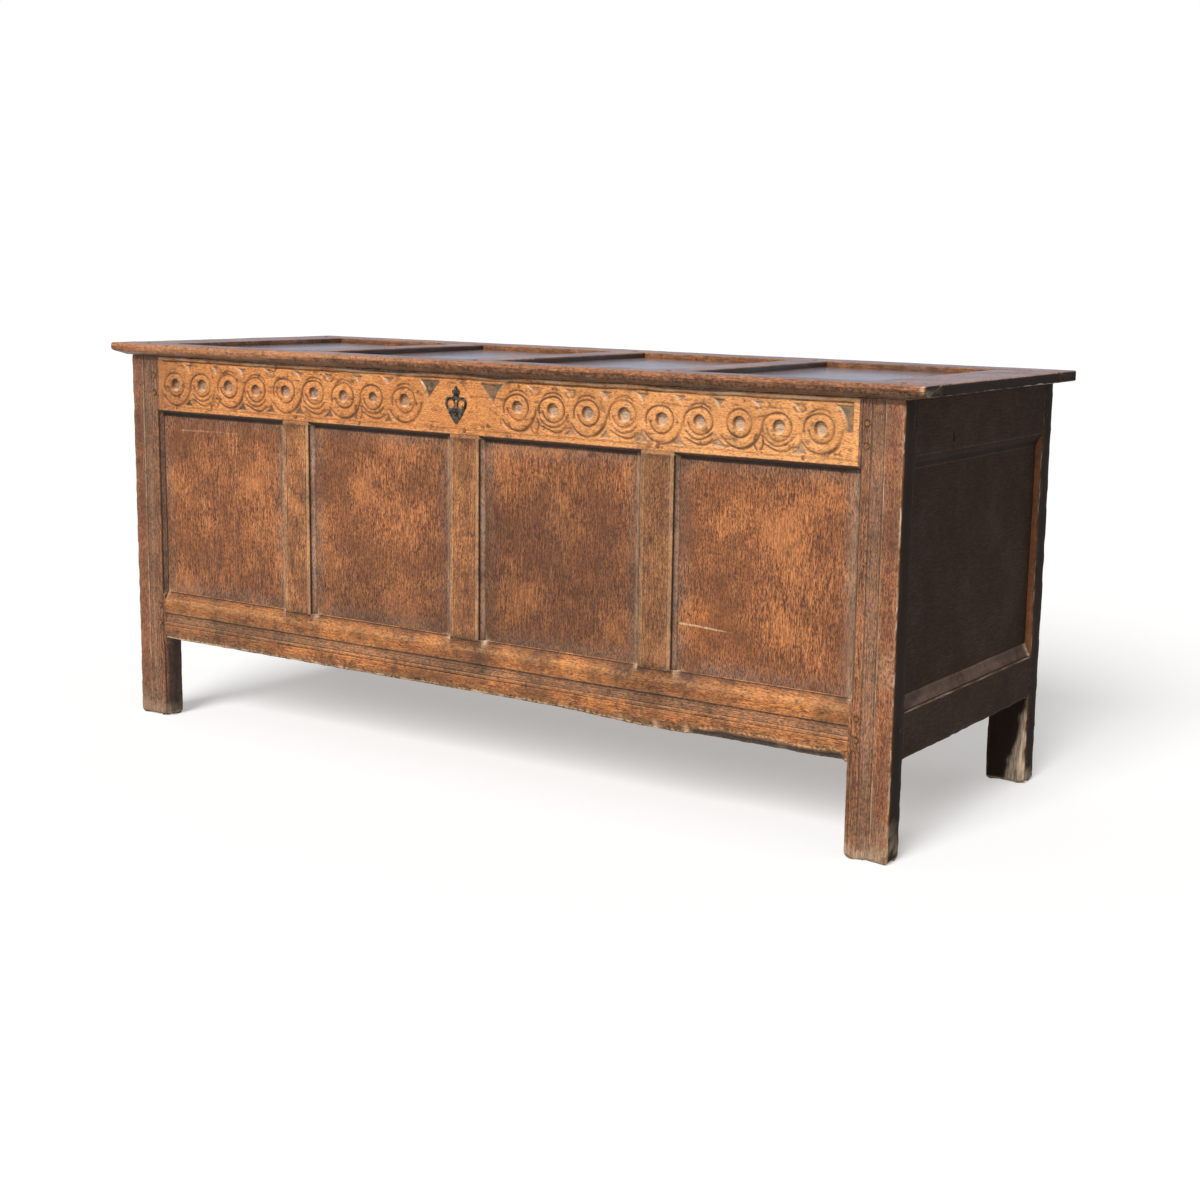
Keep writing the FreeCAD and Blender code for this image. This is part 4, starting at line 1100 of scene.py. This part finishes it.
def makeFrontField():
    width, depth, quirk = (frontMoulding[key] for key in ("width", "depth", "quirk"))
    beadFrom, wide, deep = (muntinShape[key] for key in ("beadFrom", "beadWide", "beadDeep"))
    for i, (low, high) in enumerate(muntinBoxes):
        def section(z):
            corners = [(low.x, high.y, 1)]
            for edge, side in ((low.x, 1), (high.x, -1)):
                half = [(edge, faceY + depth, 0.5), (edge + side * 1.6 * mm, faceY + 0.75 * depth, 0.6),
                        (edge + side * 0.9 * width, faceY + quirk, 0.4), (edge + side * width, faceY, 0.6),
                        (edge + side * beadFrom, faceY, 0.4),
                        (edge + side * (beadFrom + wide / 2), faceY + deep, 0.3),
                        (edge + side * (beadFrom + wide), faceY, 0.4)]
                corners += half if side > 0 else half[::-1]
            return corners + [(high.x, high.y, 1)]

        def weather(x, y, z, paints, spots):
            # grey on the mouldings and sides: dust and painted sky-lit shade
            paints["haze"] = fade(2.5, 4.5, y - faceY)
            paints["shade"] = np.full_like(z, muntinShape["tones"][i])
            # painted shadow in the quirks, and grime at both ends
            near = np.minimum(z - openLow, openHigh - z) + 8 * mm * unevenness(spots, 14, 31)
            quirks = fade(0.6, 1.6, y - faceY) * (1 - paints["haze"])
            deepen(paints, dirt=np.maximum(quirks, 0.6 * fade(14, 2, near)))
            # rubbed pale down the middle in places
            fromMiddle = x - 0.5 * (x.min() + x.max())
            patch = smoothStep(0.1, 0.7, unevenness(spots * (1, 1, 0.45), 32, 37))
            paints["warm"] = 0.7 * patch * fade(26, 12, np.abs(fromMiddle))
            # painted highlight on the strips between bead and moulding, the right one brighter
            fromEdge = 0.5 * (x.max() - x.min()) - np.abs(fromMiddle)
            strip = fade(0, 1, fromEdge - width) * fade(1, 0, fromEdge - beadFrom)
            strip = strip * np.where(fromMiddle > 0, 1.0, 0.45)
            deepen(paints, warm=strip)
            paints["bleach"] = 0.22 * strip

        stations = spanStations(openLow, openHigh, muntinShape["meshStep"])
        sweepBoard("front_muntin_" + str(i + 1), "Z", stations, section, "muntin", "oak_frame",
                   rounds=(0.6, 0.6), after=weather, seed=11 + i, dry=(1, 1))
    for i, bay in enumerate(bayEdges):
        plainBoard("front_panel_" + str(i + 1), "Z", "panel", "oak_panel", reach=1,
                   step=panelMarks["meshStep"],
                   trim={0: lapped(*bay), 2: lapped(openLow, openHigh)}, extra=panelStations(i),
                   after=agePanel(i), seed=20 + i, wave=1.6, haze=panelMarks["greyRim"], dry=(1, 1),
                   fine={0: panelMarks["faceStep"]})


makeFrontField()
print("stage: front muntins and panels made")


# ends and back
endMoulding = {
    "width": 20 * mm,
    "depth": 10.5 * mm,
    "step": 2 * mm,
    "hole": (-104.5 * mm, 573 * mm),     # an old fitting's hole in the top rail: place and half sizes
    "holeHalf": (1.6 * mm, 5 * mm),
    "holeDeep": 2.5 * mm,
    "meshStep": 12 * mm,
    "faceStep": 2.4 * mm,
    "panelStep": 20 * mm,
}


def makeEnds():
    wide, deep, step = (endMoulding[key] for key in ("width", "depth", "step"))
    hole, holeHalf = endMoulding["hole"], endMoulding["holeHalf"]
    frontInner, backInner = frontRight[1].y, backRight[0].y
    fineAt = [hole[0] + k * 0.8 * mm for k in range(-4, 5)] + [backInner - k * 4 * mm for k in (1, 2, 3, 4)]
    stations = spanStations(frontInner, backInner, endMoulding["meshStep"], fineAt)
    for word, side in bothSides:
        low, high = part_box(word + "_bottom_rail")
        inner, outer = (low.x, high.x) if side > 0 else (high.x, low.x)
        lowTop = high.z
        highLow, highTop = (corner.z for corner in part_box(word + "_top_rail"))

        def railSection(plainEdge, mouldedEdge, arris):
            # from the plain edge out and along to the moulding beside the panel
            way = 1 if mouldedEdge > plainEdge else -1
            return lambda y: [(inner, plainEdge, 1.2), (outer, plainEdge, *arris),
                              (outer, mouldedEdge - way * wide, 1),
                              (outer - side * step, mouldedEdge - way * (wide - step), 0.8),
                              (outer - side * 0.8 * deep, mouldedEdge - way * 0.35 * wide, 4),
                              (outer - side * deep, mouldedEdge, 0.8), (inner, mouldedEdge, 1)]

        def ageRail(x, z, y, paints, spots):
            inward, rise = (outer - x) * side, z - lowTop + wide
            slope = smoothStep(0, 2 * step, rise) * (rise < 2 * wide) * (inward < deep + 1 * mm)
            dust = slope * fade(-16, -4, y - backInner + 5 * mm * unevenness(spots, 8, 40))
            arris = fade(1.6, 0.5, np.abs(rise)) * (inward < 2 * mm)
            arris = arris * np.clip(0.6 + 0.7 * unevenness(spots, 30, 44), 0.1, 1)
            paints["bleach"] = np.maximum(0.8 * dust, 0.5 * arris)
            # painted highlight: the moulding's upward slope takes a paler grey where it faces the light
            paints["haze"] = slope * smoothStep(0.12 * deep, 0.3 * deep, inward)
            paints["dirt"] = paints["dirt"] * (1 - 0.8 * slope)
            away = np.maximum(np.abs(y - hole[0]) / holeHalf[0], np.abs(z - hole[1]) / holeHalf[1])
            hollow = smoothStep(1.35, 0.9, away) * (inward < 3 * mm)
            x -= side * endMoulding["holeDeep"] * hollow
            deepen(paints, dirt=hollow)

        for part, section in (("bottom", railSection(low.z, lowTop, (2, 1.4))),
                              ("top", railSection(highTop, highLow, (1.2,)))):
            sweepBoard(word + "_" + part + "_rail", "Y", stations, section, "end", "oak_frame",
                       rounds=(0.6, 0.6), fine={1: endMoulding["faceStep"]}, after=ageRail,
                       seed=31 + side, dry=(0, -side))
        plainBoard(word + "_panel", "Y", "end", "oak_panel", reach=1, step=endMoulding["panelStep"],
                   seed=35 + side, wave=1.8, dry=(0, -side),
                   trim={1: lapped(frontInner, backInner), 2: lapped(lowTop, highLow)})


def makeBack():
    low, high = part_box("back_bottom_rail")[1].z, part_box("back_top_rail")[0].z
    for node in ("back_bottom_rail", "back_top_rail"):
        plainBoard(node, "X", "bare", "plain_oak", trim={0: (-innerX, innerX)}, seed=41)
    edges = [-innerX]
    for i in (1, 2, 3):
        node = "back_muntin_" + str(i)
        edges += [corner.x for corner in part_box(node)]
        plainBoard(node, "Z", "bare", "plain_oak", trim={2: (low, high)}, seed=42 + i)
    edges.append(innerX)
    for i in range(4):
        plainBoard("back_panel_" + str(i + 1), "Z", "bare", "plain_oak", reach=1, step=24 * mm, wave=1.6,
                   trim={0: lapped(*edges[2 * i:2 * i + 2]), 2: lapped(low, high)}, seed=46 + i)
    for i in range(4):
        plainBoard("floor_board_" + str(i + 1), "Y", "bare", "plain_oak", seed=52 + i)


makeEnds()
makeBack()
print("stage: ends, back and floor made")


# lid
lidShape = {
    "noseReach": 6,                    # rounding of the front edge, above, mm
    "noseBevel": (10 * mm, 8 * mm),    # underside taken off along the front: in, up
    "endBevel": (28 * mm, 4.5 * mm),   # and under both ends
    "endReach": 3,                     # mm
    "railStep": 5 * mm,
    "endStep": 9 * mm,
    "muntinStep": 14 * mm,
    "panelStep": 16 * mm,
}


def makeLid():
    (nose, under), (inside, top) = (corner[1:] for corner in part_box("lid_front_rail"))
    backFrom, backTo = (corner.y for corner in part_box("lid_back_rail"))
    noseIn, noseUp = lidShape["noseBevel"]
    endIn, endUp = lidShape["endBevel"]
    noseReach, endReach = lidShape["noseReach"], lidShape["endReach"]
    ends = {word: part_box("lid_" + word + "_end") for word in ("left", "right")}
    span = (ends["left"][0].x, ends["right"][1].x)

    def raised(x):
        # how high the end bevel has lifted the underside at x
        return under + endUp * max(0.0, 1 - min(x - span[0], span[1] - x) / endIn)

    def noseSection(x):
        return [(nose + noseIn, raised(x), 1.5, 0.8), (inside, raised(x), 0.8), (inside, top, 1.2, 0.5),
                (nose, top, noseReach, 1.3), (nose, max(under + noseUp, raised(x) + 1 * mm), 3, 1.3)]

    def backSection(x):
        return [(backFrom, raised(x), 1), (backTo, raised(x), 1.5, 0.8), (backTo, top, 2.5, 0.8),
                (backFrom, top, 1.6, 0.6)]

    def ageLong(y, z, x, paints, spots):
        # years of hands leave the nose dark below its crown; the cut ends take painted shade
        ragged = 2.5 * mm * unevenness(spots, 45, 18) + 1.5 * mm * unevenness(spots, 14, 19)
        smooth = 9 * mm * fade(-250, -480, x)     # the left end is cleaner
        below = fade(-4.5, -9, z - top + ragged + smooth)
        paints["ground"] = below * (y < nose + 14 * mm)
        cleaner = fade(50, -300, x + 6 * ragged) * fade(10, 110, x - span[0])
        paints["warm"] = 0.9 * cleaner * (y < nose + 5 * mm)
        outer = fade(4, 1.5, np.minimum(x - span[0], span[1] - x))
        paints["wear"] = paints["wear"] * (1 - 0.8 * outer)
        paints["shade"] = outer * fade(-1.5, -4, z - top)
        deepen(paints, shade=0.2 * fade(100, 560, x + 8 * ragged))
        # the right front corner is rubbed down to bare wood
        paleEdge = fade(11, 5, span[1] - x + ragged) * (1 - outer) * fade(-12, -8, z - top)
        paints["bleach"] = 0.7 * paleEdge * (y < nose + 5 * mm)

    # faces on the cut ends take the dark end finish: painted shade
    def darkEnd(points):
        x, z = points[:, 0], points[:, 2]
        return (np.minimum(x - span[0], span[1] - x) < 1.5 * mm) & (z < top - 0.6 * mm)

    def noseFace(points):
        return points[:, 1] < nose + (noseReach - 1.5) * mm

    evenly = spanStations(span[0], span[1], lidShape["railStep"], (span[0] + endIn, span[1] - endIn))
    for part, section, joint, away, others, seed in (
            ("front", noseSection, inside, -1, [("nose", noseFace), ("end", darkEnd)], 61),
            ("back", backSection, backFrom, 1, [("end", darkEnd)], 62)):
        sweepBoard("lid_" + part + "_rail", "X", evenly, section, "lid", "waxed_oak", "lid",
                   rounds=(endReach, endReach), endNick=0.3, after=ageLong, seed=seed, dry=(1, -1),
                   eased=lambda flat: fade(1, 7, (flat[..., 0] - joint) * away), others=others)
    for word, side in bothSides:
        low, high = ends[word]
        inner, outer = (low.x, high.x) if side > 0 else (high.x, low.x)

        def endSection(y):
            return [(inner, under, 0.8), (outer - side * endIn, under, 1.5, 0.8),
                    (outer, under + endUp, 2, 1), (outer, top, endReach, 1), (inner, top, 1.2, 0.5)]

        def ageEnd(x, z, y, paints, spots):
            # painted shade on the outer end face
            rim = fade(3, 1, (outer - x) * side)
            paints["wear"] = paints["wear"] * (1 - 0.8 * rim)
            paints["shade"] = rim * fade(-1.5, -4, z - top)

        stations = spanStations(inside, backFrom, lidShape["endStep"])
        sweepBoard("lid_" + word + "_end", "Y", stations, endSection, "lid", "waxed_oak", "lid",
                   rounds=(0.4, 0.4), after=ageEnd, seed=63 + side, dry=(1, -1), others=[("end", darkEnd)])

    def darkSides(x, z, y, paints, spots):
        # painted shade on the muntins' sides, between panel and top
        paints["shade"] = fade(-1, -2.5, z - top) * fade(3, 5, z - under)

    edges = [ends["left"][1].x]
    for i in (1, 2, 3):
        node = "lid_muntin_" + str(i)
        edges += [corner.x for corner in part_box(node)]
        plainBoard(node, "Y", "lid", "waxed_oak", "lid", reach=1.6, step=lidShape["muntinStep"],
                   trim={1: (inside, backFrom)}, seed=65 + i, after=darkSides, dry=(1, -1))
    edges.append(ends["right"][0].x)
    for i in range(4):
        plainBoard("lid_panel_" + str(i + 1), "X", "lidPanel", "waxed_oak_panel", "lid", reach=1,
                   step=lidShape["panelStep"], seed=70 + i, wave=1.5, dry=(1, -1),
                   trim={0: lapped(*edges[2 * i:2 * i + 2]), 1: lapped(inside, backFrom)})


makeLid()
print("stage: lid made")


# lock plate: a pierced shield with curled arms and a small cross above, drawn as shares of its half sizes
lockPlate = {
    "shield": [(0, -1.0), (0.3, -0.8), (0.6, -0.52), (0.82, -0.26), (1.0, -0.04), (1.0, 0.22), (0.84, 0.38),
               (0.58, 0.4), (0.3, 0.42), (0.24, 0.54), (0.34, 0.66), (0.3, 0.78), (0.16, 0.8), (0.12, 0.9),
               (0, 1.0)],
    "gap": [(0.27, -0.16), (0.56, -0.2), (0.82, -0.06), (0.84, 0.18), (0.66, 0.28), (0.3, 0.26)],
    "rim": 0.5 * mm,       # drawn this much inside the solid
    "keyDown": 22.5 * mm,  # keyhole: below the top, bow, slot
    "bowHalf": 2.9 * mm,
    "slotHalf": 1.5 * mm,
    "slotDrop": 11 * mm,
    "bevel": 0.35 * mm,
}


def makeLockPlate():
    low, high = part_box("lock_plate")
    middle = 0.5 * (low + high)
    halfX, halfZ = 0.5 * (high.x - low.x) - lockPlate["rim"], 0.5 * (high.z - low.z) - lockPlate["rim"]
    right = [(x * halfX, z * halfZ) for x, z in lockPlate["shield"]]
    outline = right + [(-x, z) for x, z in reversed(right[1:-1])]
    gaps = [[(side * x * halfX, z * halfZ) for x, z in lockPlate["gap"]] for side in (1, -1)]
    bow, slotHalf, drop = lockPlate["bowHalf"], lockPlate["slotHalf"], lockPlate["slotDrop"]
    keyZ = high.z - middle.z - lockPlate["keyDown"]
    turn = [math.radians(a) for a in range(-55, 236, 15)]
    key = [(bow * math.cos(a), keyZ + bow * math.sin(a)) for a in turn]
    key += [(-slotHalf, keyZ - drop), (slotHalf, keyZ - drop)]
    curve = bpy.data.curves.new("lockPlateOutline", "CURVE")
    curve.dimensions = "2D"
    curve.fill_mode = "BOTH"
    curve.extrude = 0.5 * (high.y - low.y) - lockPlate["bevel"]
    curve.bevel_depth = lockPlate["bevel"]
    curve.bevel_resolution = 1
    curve.resolution_u = 5
    for points, smooth in ((outline, True), (gaps[0], True), (gaps[1], True), (key, False)):
        spline = curve.splines.new("BEZIER" if smooth else "POLY")
        row = spline.bezier_points if smooth else spline.points
        row.add(len(points) - 1)
        for spot, (x, z) in zip(row, points):
            spot.co = (x, z, 0.0) if smooth else (x, z, 0.0, 1.0)
            if smooth:
                spot.handle_left_type = spot.handle_right_type = "AUTO"
        spline.use_cyclic_u = True
    drawn = addObject("lockPlateOutline", curve)
    bpy.context.view_layer.update()
    mesh = bpy.data.meshes.new_from_object(drawn.evaluated_get(bpy.context.evaluated_depsgraph_get()))
    bpy.data.objects.remove(drawn)
    mesh.transform(Matrix.Translation(middle) @ Matrix.Rotation(math.pi / 2, 4, "X"))
    closeMesh(mesh, weld=0.01 * mm)
    mesh.materials.clear()
    mesh.materials.append(ironMaterial)
    addPiece("lock_plate_pierced", mesh, "carcase", "lock_plate")


makeLockPlate()
print("stage: lock plate made")


# pieces that keep their solids get their real finish
ironNodes = ["lock_case", "lock_bolt", "lock_spring", "lid_staple", "carcase_nails", "lid_nails"]
ironNodes += [side + "_hinge_" + part for side in ("left", "right") for part in ("strap", "plate", "pin")]
solidFinish = {node: ironMaterial for node in ironNodes}
solidFinish.update({"carcase_pegs": oak("peg", "Y"), "lid_pegs": oak("peg", "Z")})
for node, material in solidFinish.items():
    if not nodes[node].material_slots:
        nodes[node].data.materials.append(material)
    for place in nodes[node].material_slots:
        place.material = material
print("stage: carried-over solids finished")


# studio: pale floor, a distant key light from the front and above, pale sky all round
studio = {
    "floorSize": 400.0,
    "floorColour": "dadada",
    "floorGlow": 0.5,       # the paper is lit through from below a little, so that shadows stay light
    # crisp key and soft fill for the chest, and a lower one for the paper, whose light reaches in under the
    # rails: height and spread in degrees, strength, colour, what it lights
    "lights": {"keyLight": (46.0, 2.5, 3.35, "fff1e0", "chest"),
               "softLight": (55.0, 50.0, 2.6, "ffffff", "chest"),
               "paperLight": (33.0, 32.0, 4.0, "ffffff", "paper")},
    "aside": -6.0,          # all come a little from the right
    "skyColour": "eee8df",
    "mirrorColour": "d3e0f5",
    "skyStrength": 0.36,
    "skyMirrored": 0.8,     # brighter in polish than as a light, as a wide white ceiling is
}


def makeStudio():
    half = 0.5 * studio["floorSize"]
    mesh = bpy.data.meshes.new("studioFloor")
    corners = [(-half, -half, 0), (half, -half, 0), (half, half, 0), (-half, half, 0)]
    mesh.from_pydata(corners, [], [(0, 1, 2, 3)])
    paper = bpy.data.materials.new("paper_matt")      # seamless background paper: even and dull
    tree = freshTree(paper)
    colour = hexColour(studio["floorColour"])
    shader = addNode(tree, "BsdfPrincipled",
                     {"Base Color": colour, "Roughness": 0.9, "Specular IOR Level": 0.1,
                      "Emission Color": colour, "Emission Strength": studio["floorGlow"]})
    addNode(tree, "OutputMaterial", {}, {"Surface": shader.outputs[0]})
    mesh.materials.append(paper)
    floor = addObject("studioFloor", mesh)
    lit = {"chest": bpy.data.collections.new("litChest"), "paper": bpy.data.collections.new("litPaper")}
    for piece in scene.objects:
        if piece.type == "MESH":
            lit["paper" if piece is floor else "chest"].objects.link(piece)
    aside = math.radians(studio["aside"])
    for name, (high, spread, strength, colour, target) in studio["lights"].items():
        light = bpy.data.lights.new(name, "SUN")
        light.angle = math.radians(spread)
        light.energy = strength
        light.color = hexColour(colour)[:3]
        lamp = addObject(name, light)
        rise = math.radians(high)
        aim = Vector((math.sin(aside) * math.cos(rise), math.cos(aside) * math.cos(rise), -math.sin(rise)))
        lamp.rotation_euler = aim.to_track_quat("-Z", "Y").to_euler()
        lamp.light_linking.receiver_collection = lit[target]
    scene.world = bpy.data.worlds.new("studioSky")
    tree = freshTree(scene.world)
    skies = ((studio["skyColour"], studio["skyStrength"]), (studio["mirrorColour"], studio["skyMirrored"]),
             ("ffffff", 1.0))
    sky, mirrored, seen = (addNode(tree, "Background", {"Color": hexColour(colour), "Strength": strength})
                           for colour, strength in skies)
    path = addNode(tree, "LightPath")
    glossy = addNode(tree, "MixShader", {}, {0: path.outputs["Is Glossy Ray"], 1: sky.outputs[0],
                                             2: mirrored.outputs[0]})
    both = addNode(tree, "MixShader", {}, {0: path.outputs["Is Camera Ray"], 1: glossy.outputs[0],
                                           2: seen.outputs[0]})
    addNode(tree, "OutputWorld", {}, {"Surface": both.outputs[0]})
    scene.view_settings.view_transform = "Standard"


makeStudio()
print("stage: studio lit")
